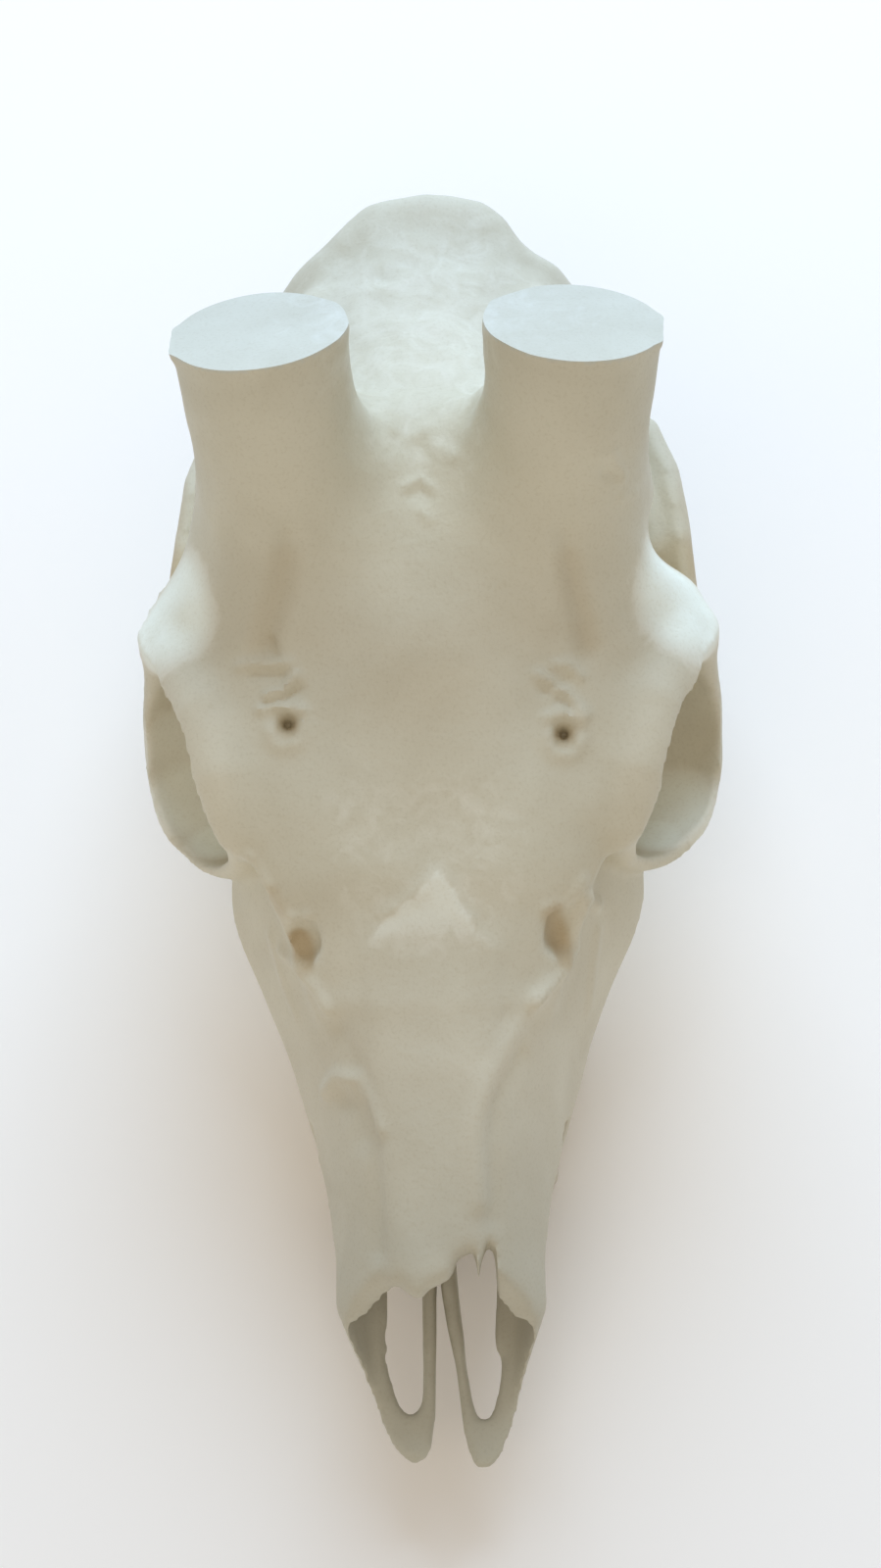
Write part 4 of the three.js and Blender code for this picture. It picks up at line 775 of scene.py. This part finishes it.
def sanded(mesh, name, material, size, depth, seed, rubbing=1):
    holder = bpy.data.objects.new(name, mesh)
    bpy.context.collection.objects.link(holder)
    work = holder.modifiers.new("sanding", "NODES")
    work.node_group = sanding
    dials = {"Grain Size": size, "Grain Depth": depth, "Seed": seed, "Rubbing": rubbing, "Resin": material}
    for dial in sanding.interface.items_tree:
        if dial.in_out == "INPUT" and dial.name in dials:
            work[dial.identifier] = dials[dial.name]
    return finished_mesh(holder, name)


def each_point(mesh, what):
    values = np.empty(len(mesh.vertices) * 3)
    mesh.vertices.foreach_get(what, values)
    return values.reshape(-1, 3)


cast_mesh = sanded(cast_mesh, "cast", cast_resin, 0.0042, 0.00012, 3.0, 2)
skin_at, skin_turn = each_point(cast_mesh, "co") * 1000 + [0, MIDDLE, 0], each_point(cast_mesh, "normal")
marked_lift = np.zeros(len(skin_at))
mark_fade = 2.4
for width, lift, path in mark_paths:
    near_it = np.nonzero(np.all((skin_at > np.min(path, axis=0) - width * mark_fade)
                                & (skin_at < np.max(path, axis=0) + width * mark_fade), axis=1))[0]
    away = np.full(len(near_it), 1e3)
    for a, b in zip(path, path[1:]):
        along = np.clip((skin_at[near_it] - a) @ (b - a) / ((b - a) @ (b - a)), 0, 1)[:, None]
        away = np.minimum(away, np.linalg.norm(skin_at[near_it] - a - along * (b - a), axis=1))
    marked_lift[near_it] += lift * np.exp(-(away / width) ** 2) * np.clip(mark_fade - away / width, 0, 1)
skin_at = (skin_at + skin_turn * marked_lift[:, None] - [0, MIDDLE, 0]) / 1000
cast_mesh.vertices.foreach_set("co", skin_at.ravel())
cast_skin = cast_mesh.attributes.new("skin", "BOOLEAN", "FACE")
cast_skin.data.foreach_set("value", np.ones(len(cast_mesh.polygons), dtype=bool))

# The sutures as the side shows them: where three or four bones meet, in shares of length and height.
# The cast is parted along them, and the parted bones lie against each other with no gap.
sutures = {
    "frontLow": [-0.1, -0.1], "frontHigh": [-0.1, 1.6], "snoutLow": [0.188, -0.1],
    "snoutPalate": [0.188, 0.18], "snoutSide": [0.16, 0.3], "snoutTop": [0.24, 0.54],
    "snoutHigh": [0.24, 1.6], "tearHigh": [0.333, 1.6], "tearTop": [0.333, 0.68], "tearBack": [0.377, 0.67],
    "eyeFront": [0.428, 0.73], "eyeHollowFront": [0.47, 0.66], "eyeHollow": [0.507, 0.555],
    "eyeHollowLow": [0.457, 0.5], "cheekFront": [0.402, 0.44], "tearFront": [0.355, 0.54],
    "cheekLow": [0.428, 0.33], "cheekBack": [0.53, 0.265], "toothBackLow": [0.545, -0.1],
    "toothBack": [0.545, 0.24], "palateWall": [0.507, 0.41], "palateLow": [0.486, -0.1],
    "palateEdge": [0.486, 0.255], "postTop": [0.558, 0.64], "postBack": [0.62, 0.64],
    "barTop": [0.64, 0.555], "barSplit": [0.688, 0.43], "barLow": [0.688, 0.3], "wallLow": [0.545, 0.44],
    "wallBack": [0.609, 0.44], "wingTop": [0.64, 0.555], "wingBack": [0.688, 0.535],
    "wingLow": [0.71, 0.39], "keelFront": [0.609, -0.1], "keelBackLow": [0.826, -0.1],
    "keelBack": [0.826, 0.34], "crownSide": [0.674, 0.75], "crownTop": [0.746, 0.955],
    "crownBehind": [0.815, 1.09], "crownOut": [0.942, 1.6], "templeMid": [0.746, 0.73],
    "templeBack": [0.826, 0.715], "napeSide": [0.898, 0.73], "napeTop": [0.92, 0.9], "napeOut": [1.00, 1.6],
    "earTop": [0.906, 0.59], "earBack": [0.913, 0.41], "earLow": [0.89, 0.27], "baseSide": [0.826, 0.2],
    "endHigh": [1.1, 1.6], "endLow": [1.1, -0.1], "barEndLow": [0.86, 0.3], "barEnd": [0.86, 0.625],
}
FAR = HALF_WIDTH * 1.5


def prism(outline, low, high, name):
    count = len(outline)
    points = [(*at, low) for at in outline] + [(*at, high) for at in outline]
    turned = sum(a[0] * b[1] - a[1] * b[0] for a, b in zip(outline, outline[1:] + outline[:1])) < 0
    faces = [tuple(range(count))[::-1], tuple(range(count, 2 * count))]
    faces += [(i, (i + 1) % count, count + (i + 1) % count, count + i) for i in range(count)]
    if turned:
        faces = [face[::-1] for face in faces]
    mesh = bpy.data.meshes.new(name)
    mesh.from_pydata(points, [], faces)
    return mesh


def placed_tool(mesh):
    tool = bpy.data.objects.new(mesh.name, mesh)
    bpy.context.collection.objects.link(tool)
    return tool


def side_tool(names, low, high):
    outline = [(sutures[n][0] * LENGTH - MIDDLE, sutures[n][1] * CROWN) for n in names]
    mesh = prism(outline, low, high, "side_tool")
    for point in mesh.vertices:
        y, z, x = point.co
        point.co = (x / 1000, y / 1000, z / 1000)
    return placed_tool(mesh)


def plan_tool(shares, low, high):
    mesh = prism([(x * HALF_WIDTH, y * LENGTH - MIDDLE) for x, y in shares], low, high, "plan_tool")
    for point in mesh.vertices:
        point.co = point.co / 1000
    return placed_tool(mesh)


def worked(mesh, steps, name):
    holder = bpy.data.objects.new(name, mesh)
    bpy.context.collection.objects.link(holder)
    for kind, tool in steps:
        cut = holder.modifiers.new("cut", "BOOLEAN")
        cut.operation, cut.object, cut.solver = kind, tool, "MANIFOLD"
    return finished_mesh(holder, name)


def joined_tool(a, b):
    return placed_tool(worked(a.data, [("UNION", b)], "joined_tool"))


def path_spots(path, reach, strength):
    ends = [skin_spot(x, y) for x, y in path]
    return [(a + (b - a) * t, reach, strength) for a, b in zip(ends, ends[1:]) for t in np.linspace(0, 1, 7)]


# Painted light and shade, spot by spot: brown painted shade in the brow holes, tear pits and gutters, over a
# band of the forehead and along the cheek bars, and painted cool light on the shelf's tips, the eyes' cups,
# the crown and a patch on the nose. Each is a spot that fades with its distance, or an outline seen from
# above, and it is kept on the mesh for the resin to read.
brown_painted_shade_spots = [(point, 2.4, 0.7) for point in brow_holes]
for path, reach, strength in (
    (((-27.4, 99.6), (-26.2, 96.5), (-25.4, 93.6)), 2.6, 0.9),
    (((24.4, 101), (25.6, 97.6), (26.6, 94)), 2.4, 0.8), (((-31.9, 106.3), (-30.7, 103.9)), 2.2, 0.40),
    (gutter_left[1:], 3.6, 0.20), (gutter_right[1:], 3.0, 0.24), (((-2, 138), (-1, 129)), 16, 0.22),
):
    brown_painted_shade_spots += path_spots(path, reach, strength)
for hand in (-1, 1):
    brown_painted_shade_spots += [((hand * 56, 174, 56), 8.0, 0.85), ((hand * 53, 187, 58), 8.0, 0.9),
                      ((hand * 52, 199, 58), 8.0, 0.35)]
# Painted cool light: spots and paths that are painted paler and cooler, and an outline over the nose.
painted_cool_light_spots = [((51.5, 134, 48.5), 9, 1.1), ((47, 128, 50.5), 6.5, 1.35), ((-52.5, 139, 48.4), 10, 1.0),
               ((-55.4, 150, 54), 9, 0.7), ((-46.5, 129, 49.6), 6.5, 1.3)]
for path, reach, strength in (
    (((-55, 162), (-51, 164)), 11, 1.5), (((54, 162), (50, 165)), 11, 1.5),
    (((-12, 104), (0, 108), (12, 104)), 9, 0.22), (((-6, 190), (6, 186)), 9, 0.24),
    (((-13, 117), (11, 116)), 9, 0.30),
):
    painted_cool_light_spots += path_spots(path, reach, strength)
painted_cool_light_plan = [(-14, 86), (-12.6, 95.4), (-9.8, 98.4), (-7.2, 99.2), (-5.3, 101.4), (-3.2, 102.0),
              (-1.3, 104.4), (-0.4, 104.8), (1.5, 107.0), (2.6, 106.2), (4.0, 104.2), (5.4, 103.4),
              (6.2, 100.8), (8.0, 98.6), (9.4, 96.2), (13, 94.4), (15, 86)]


def fading_from(points, spots):
    strongest = np.zeros(len(points))
    for centre, reach, strength in spots:
        fade = np.clip(1.5 - np.linalg.norm(points - centre, axis=1) / reach, 0, 1)
        strongest = np.maximum(strongest, strength * fade * fade * (3 - 2 * fade))
    return strongest


def marked(mesh):
    points = each_point(mesh, "co")
    here = points * 1000 + [0, MIDDLE, 0]
    x, y, z = here.T
    # Where the painted cool light lies: over the crown, and inside the outline over the nose.
    on_crown = over_crown(x, y) * (z > 70)
    patch = np.clip(0.5 - outline_distance(painted_cool_light_plan, x, y) / 1.2, 0, 1) * (z > 70)
    patch = patch * np.clip((y - 90) / 9, 0, 1)
    # The sawn faces, past the saw's cut, which get painted cool light.
    over_saw = (np.where(here[:, :1] > 0, here, here * [-1, 1, 1]) - stump_top) @ stump_lean
    for label, values in (
        ("shelter_near", sheltered(points, shelter_near)),
        ("bared", np.maximum(np.maximum(0.36 * on_crown, 0.78 * patch), fading_from(here, painted_cool_light_spots))),
        ("shelter_wide", sheltered(points, shelter_wide)),
        ("stained", fading_from(here, brown_painted_shade_spots)), ("filed", over_saw > -0.3),
    ):
        layer = mesh.attributes.new(label, "FLOAT", "POINT")
        layer.data.foreach_set("value", values.astype(np.float32))


# Each bone is finished before it is laid in its place: smooth where the cast's own skin runs on, with a
# sharp edge along a seam or a saw's cut, so that the skin on both sides of a seam shades as one.
def seams_sharp(mesh):
    mesh.set_sharp_from_angle(angle=math.radians(44))
    skin = mesh.attributes.get("skin")
    if skin is None:
        return
    on_skin, sizes = np.empty(len(mesh.polygons), dtype=bool), np.empty(len(mesh.polygons), dtype=np.int32)
    skin.data.foreach_get("value", on_skin)
    mesh.polygons.foreach_get("loop_total", sizes)
    loop_edge = np.empty(len(mesh.loops), dtype=np.int32)
    mesh.loops.foreach_get("edge_index", loop_edge)
    loop_skin = np.repeat(on_skin, sizes)
    by_skin, by_cut = np.zeros(len(mesh.edges), dtype=bool), np.zeros(len(mesh.edges), dtype=bool)
    by_skin[loop_edge[loop_skin]] = True
    by_cut[loop_edge[~loop_skin]] = True
    sharp = mesh.attributes.get("sharp_edge") or mesh.attributes.new("sharp_edge", "BOOLEAN", "EDGE")
    flags = np.empty(len(mesh.edges), dtype=bool)
    sharp.data.foreach_get("value", flags)
    sharp.data.foreach_set("value", flags | (by_skin & by_cut))
    mesh.attributes.remove(mesh.attributes["skin"])


def set_down(mesh, name, node):
    marked(mesh)
    mesh.shade_smooth()
    seams_sharp(mesh)
    piece = bpy.data.objects.new(name, mesh)
    bpy.context.collection.objects.link(piece)
    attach(piece, "root")
    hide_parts(node)


def bone(name, node, tool, *spared):
    steps = [("INTERSECT", tool), *(("DIFFERENCE", other) for other in spared)]
    set_down(worked(cast_mesh, steps, name), name, node)


def both_sides(names, low, high):
    return {"right": side_tool(names, low, high), "left": side_tool(names, -high, -low)}


# The two nose bones roof the nose, thin and slightly arched. They are parted along the middle, and
# their uneven tips stand out over the opening.
nose_right = [(0, 0.386), (0.239, 0.341), (0.215, 0.24), (0.195, 0.15), (0.16, 0.139), (0.15, 0.128),
              (0.15, 0.04), (0, 0.04)]
nose_left = [(0, 0.386), (-0.239, 0.341), (-0.215, 0.24), (-0.19, 0.145), (-0.15, 0.116), (-0.15, 0.04),
             (0, 0.04)]
nose_tools = {"right": plan_tool(nose_right, nose_underside, CROWN),
              "left": plan_tool(nose_left, nose_underside, CROWN)}
for hand, tool in nose_tools.items():
    bone(f"nose_bone_{hand}", f"nasal_{hand}", tool)

# The snout's pair carries the tips and the slots of the palate, and makes the nostril's sides. Each half
# lies against the upper jaw behind it and under the nose bones.
snout_names = ["frontLow", "snoutLow", "snoutPalate", "snoutSide", "snoutTop", "snoutHigh", "frontHigh"]
for hand, tool in both_sides(snout_names, 0, FAR).items():
    bone(f"snout_{hand}", f"premaxilla_{hand}", tool, *nose_tools.values())

# The upper jaws hold the teeth in their sockets and make the sides of the face. The cheek and palate
# bones lie against them, so their tools are made here too and cut away from the jaws.
cheek_names = ["cheekFront", "eyeHollowLow", "eyeHollow", "postTop", "postBack", "barTop", "barSplit",
               "barLow", "cheekBack", "cheekLow"]
palate_names = ["palateLow", "palateEdge", "palateWall", "eyeHollowLow", "eyeHollow", "wallLow", "wallBack",
                "keelFront"]
throat_names = ["wallLow", "wallBack", "keelFront", "toothBackLow", "toothBack"]
outer_half, base_half, palate_half = 0.55 * HALF_WIDTH, 0.24 * HALF_WIDTH, 0.29 * HALF_WIDTH
cheek_tools = both_sides(cheek_names, outer_half, FAR)
palate_tools = both_sides(palate_names, 0, palate_half)
jaw_names = ["snoutLow", "snoutPalate", "snoutSide", "snoutTop", "snoutHigh", "tearHigh", "tearTop",
             "tearFront", "cheekFront", "eyeHollowLow", "eyeHollow", "wallLow", "toothBack", "toothBackLow"]
for hand, tool in both_sides(jaw_names, 0, FAR).items():
    bone(f"upper_jaw_{hand}", f"maxilla_{hand}", tool, *nose_tools.values(), cheek_tools[hand],
         palate_tools[hand])

# The tear bones close the eye's ring in front, with the tear pit in them. They fit between the upper
# jaw, the cheek bone and the forehead.
tear_names = ["tearTop", "tearBack", "eyeFront", "eyeHollowFront", "eyeHollow", "eyeHollowLow", "cheekFront",
              "tearFront"]
for hand, tool in both_sides(tear_names, 0, FAR).items():
    bone(f"tear_bone_{hand}", f"lacrimal_{hand}", tool, *nose_tools.values())

# The cheek bones carry the eye's ring from below and behind, and start the bar to the ear. They lie on
# the upper jaw in front and meet the temple's part of the bar halfway.
for hand, tool in cheek_tools.items():
    bone(f"cheek_bone_{hand}", f"zygomatic_{hand}", tool)

# The palate bones end the mouth's roof behind the upper jaws, and wall the throat up to the keel. Each
# is cut with two tools joined, because its wall stands further out than its plate.
for hand, tool in both_sides(throat_names, 0, FAR).items():
    bone(f"palate_bone_{hand}", f"palatine_{hand}", joined_tool(palate_tools[hand], tool))

# The forehead's pair carries the antler stumps and the shelf over the eyes. The saw took the stumps off
# flat, square to their lean, and left a faint burr on their rims.
saw_turn = Vector((0, 0, 1)).rotation_difference(Vector(stump_lean)).to_matrix()
forehead_names = ["tearHigh", "tearTop", "tearBack", "eyeFront", "eyeHollowFront", "eyeHollow", "wallLow",
                  "wallBack", "wingTop", "crownSide", "crownTop", "crownBehind", "crownOut"]
for hand, tool in both_sides(forehead_names, 0, FAR).items():
    mirror = 1 if hand == "right" else -1
    sawn = prism([(-30, -30), (30, -30), (30, 30), (-30, 30)], 0, 40, "saw")
    for point in sawn.vertices:
        at = saw_turn @ point.co + Vector(stump_top)
        point.co = (at.x * mirror / 1000, (at.y - MIDDLE) / 1000, at.z / 1000)
    if mirror < 0:
        sawn.flip_normals()
    bone(f"forehead_{hand}", f"frontal_{hand}", tool, *nose_tools.values(), cheek_tools[hand],
         placed_tool(sawn))

# The crown is one bone across the middle, between the stumps and the nape's crest. Its crumpled skin
# comes from the block.
crown_tool = side_tool(["crownSide", "templeMid", "templeBack", "napeSide", "napeTop", "napeOut", "crownOut",
                        "crownBehind", "crownTop"], -FAR, FAR)
bone("crown", "parietal", crown_tool)

# The temple bones wall the brain's room behind the eye, hold the jaw's hinge and end the cheek bar. Wall
# and bar are cut with two tools joined.
temple_names = ["wingTop", "crownSide", "templeMid", "templeBack", "napeSide", "earTop", "earBack", "earLow",
                "baseSide", "keelBack", "wingLow", "wingBack"]
bar_names = ["barTop", "barSplit", "barLow", "barEndLow", "barEnd", "templeMid", "crownSide"]
temple_wall, temple_bar = both_sides(temple_names, base_half, FAR), both_sides(bar_names, outer_half, FAR)
for hand in temple_wall:
    bone(f"temple_{hand}", f"temporal_{hand}", joined_tool(temple_wall[hand], temple_bar[hand]))

# The back of the skull: the neck's hole and two knuckles, and the pegs beside them. Under the brain it
# runs forward to the keel.
nape_names = ["keelBackLow", "baseSide", "earLow", "earBack", "earTop", "napeSide", "napeTop", "napeOut",
              "endHigh", "endLow"]
nape_tool = joined_tool(side_tool(nape_names, -FAR, FAR),
                        side_tool(["keelBackLow", "keelBack", "earBack", "endLow"], -base_half, base_half))
bone("skull_back", "occipital", nape_tool)

# The keel under the brain, with its two wings behind the throat. It is the last bone that the block is
# parted into, so the tools go after it.
keel_tool = side_tool(["keelFront", "wallBack", "wingTop", "wingBack", "wingLow", "keelBack", "keelBackLow"],
                      -outer_half, outer_half)
bone("skull_keel", "sphenoid", keel_tool)
tool_names = ("side_tool", "plan_tool", "joined_tool", "saw")
for tool in [other for other in bpy.data.objects if other.name.startswith(tool_names)]:
    bpy.data.objects.remove(tool)

# The thin plate that divides the nose: a sheet of the same resin, cast upright on the nose's floor, with
# a thicker foot and a wavy free edge.
fine_step = 0.7
plate_room = room_of((-5, 5.1), (50, 142), (16, 50), fine_step)
plate_x, plate_y, plate_z = plate_room
plate_line = [(along * LENGTH, up * CROWN) for along, up in (
    (0.200, 0.20), (0.495, 0.20), (0.500, 0.38), (0.420, 0.40), (0.320, 0.36), (0.230, 0.29))]
plate_side = outline_distance(plate_line, plate_y[0], plate_z[0], 1)[None, :, :]
plate_foot = np.clip((27.5 - plate_z) / 4, 0, 1)
plate_wave = 0.35 * np.sin(plate_y / 9) * np.clip((plate_z - 26) / 12, 0, 1)
plate = np.abs(plate_x - plate_wave) - 0.9 - 0.5 * plate_foot
nose_inside = np.maximum(drawn_body(face_rows, 3.2, 4.4, plate_room), nose_floor(plate_y) + 0.25 - plate_z)
plate = scoop(scoop(plate, -plate_side, 1.0), -nose_inside, 0.6)
plate_mesh = skin_of(plate.astype(np.float32), np.array([-5, 50 - MIDDLE, 16.0]), fine_step, "nose_plate")
set_down(sanded(plate_mesh, "nose_plate", cast_resin, 0.003, 0.00008, 5.0), "nose_plate", "vomer")


# The ear's bulbs hang under the skull behind the jaw's hinge: hollow in life, solid resin here, swollen,
# a little pinched, with a spur in front. Left and right are mirrored before they get their skin.
def both_hands(field, low_x, high_x, low_y, low_z, step, name):
    for hand, own, edge in (("right", field, low_x), ("left", field[::-1], -high_x)):
        corner = np.array([edge, low_y - MIDDLE, low_z])
        yield hand, skin_of(own.astype(np.float32), corner, step, name)


bulb_centre = spot([0.33, 0.850, 0.250])
bulb_room = room_of((8, 34), (218, 252), (12, 44), fine_step)
bulb_x, bulb_y, bulb_z = bulb_room
bulb = orb(bulb_centre, [8.3, 10.6, 8.2], bulb_room)
bulb_spur = [(bulb_centre + [-2.0, -8.0, -2.5], 2.6), (bulb_centre + [-2.5, -10.6, -5.2], 1.2)]
bulb_pinch = [(bulb_centre + [9.6, -6, -7], 1.6), (bulb_centre + [8.0, 6, -8.5], 1.6)]
bulb = melt(bulb, limb(bulb_spur, 1.0, bulb_room), 3.0)
bulb = scoop(bulb, limb(bulb_pinch, 1.0, bulb_room), 4.0)
bulb += 0.22 * np.sin(bulb_y / 2.6 + bulb_x / 5) * np.sin(bulb_z / 3.1)
for hand, bulb_mesh in both_hands(bulb, 8.0, float(bulb_x.max()), 218, 12.0, fine_step, "ear_bulb"):
    set_down(sanded(bulb_mesh, "ear_bulb", cast_resin, 0.003, 0.0001, 7.0), f"ear_bulb_{hand}",
             f"tympanic_bulla_{hand}")

# The cheek teeth, six to a side: three small ones with one crescent, then three large ones with two.
# They are cast with the skull and left smoother: ribs outside, crescents in the chewing face.
tooth_resin = resin("tooth_resin", (0.680, 0.650, 0.550), (0.600, 0.560, 0.450), (0.62, 0.52, 0.40), 0.46)
TOOTH_STEP = 0.45
tooth_names = ["premolar_2", "premolar_3", "premolar_4", "molar_1", "molar_2", "molar_3"]
tooth_out = [0.79, 0.885, 0.955, 1.01, 1.03, 1.01]
row_half, row_start, tooth_gap, crown_height, root_end, chewing_low = 25.4, 65.5, 0.6, 11.5, 17.2, -1.5
front_edge = row_start
for index, (tooth, share) in enumerate(zip(tooth_names, tooth_out)):
    lobes = 2 if index > 2 else 1
    length, width = (14.0, 13.5) if lobes == 2 else (11.0, 9.5)
    centre_x, centre_y = row_half * share, front_edge + length / 2
    front_edge += length + tooth_gap
    half_l, half_w = length / 2, width / 2
    room = room_of((-half_w - 2, half_w + 2), (-half_l - 2, half_l + 2), (chewing_low, root_end + 1.6),
                   TOOTH_STEP)
    tooth_x, tooth_y, tooth_z = room
    middles = [(lobe - (lobes - 1) / 2) * half_l for lobe in range(lobes)]
    reach_l = half_l / lobes - 0.15
    plan = None
    for middle in middles:
        k = np.sqrt((tooth_x / (half_w - 0.35)) ** 2 + ((tooth_y - middle) / (reach_l * 1.12)) ** 2)
        body = (k - 1) * min(half_w, reach_l)
        plan = body if plan is None else melt(plan, body, 2.2)
    for rib in ([-half_l + 1.0, 0, half_l - 1.0] if lobes == 2 else [-half_l + 1.2, half_l - 1.2]):
        plan = melt(plan, np.sqrt((tooth_x - half_w + 1.5) ** 2 + (tooth_y - rib) ** 2) - 1.1, 1.6)
    neck = np.clip((tooth_z - crown_height) / 3, 0, 1)
    swell = np.sin(np.clip(tooth_z / crown_height, 0, 1) * math.pi)
    plan = plan + 0.0375 * np.cos(tooth_z * 1.7) + 1.3 * neck - 0.35 * swell
    ridge = np.exp(-((tooth_x - 0.4) / (half_w * 0.30)) ** 2)
    between = np.exp(-((tooth_y * lobes % length - (0 if lobes == 2 else half_l)) / 1.6) ** 2) * (lobes == 2)
    chewing = 1.5 * ridge + 0.9 * between + 0.75 * np.clip(-tooth_x / half_w, 0, 1) - tooth_z
    grown = scoop(scoop(plan, -chewing, 0.8), -(tooth_z - root_end), 0.8)
    for middle in middles:
        arc = [(np.array([half_w * 0.42 - half_w * 0.62 * math.cos(a) * 0.9,
                          middle + half_l / lobes * 0.62 * math.sin(a), 1.3]), 0.55)
               for a in np.linspace(-1.25, 1.25, 7)]
        grown = scoop(grown, limb(arc, 1.0, room), 0.7)
        shallow = [(joint + [0.0, 0.0, 0.9], 0.35) for joint, _ in arc]
        grown = scoop(grown, limb(shallow, 1.0, room), 0.5)
    low_x, high_x = centre_x + float(tooth_x.min()), centre_x + float(tooth_x.max())
    low_y = centre_y + float(tooth_y.min())
    for hand, tooth_mesh in both_hands(grown, low_x, high_x, low_y, chewing_low, TOOTH_STEP, "tooth"):
        tooth_mesh = sanded(tooth_mesh, "tooth", tooth_resin, 0.0018, 0.00005, 11.0 + index)
        set_down(tooth_mesh, f"tooth_{tooth}_{hand}", f"{tooth}_{hand}")
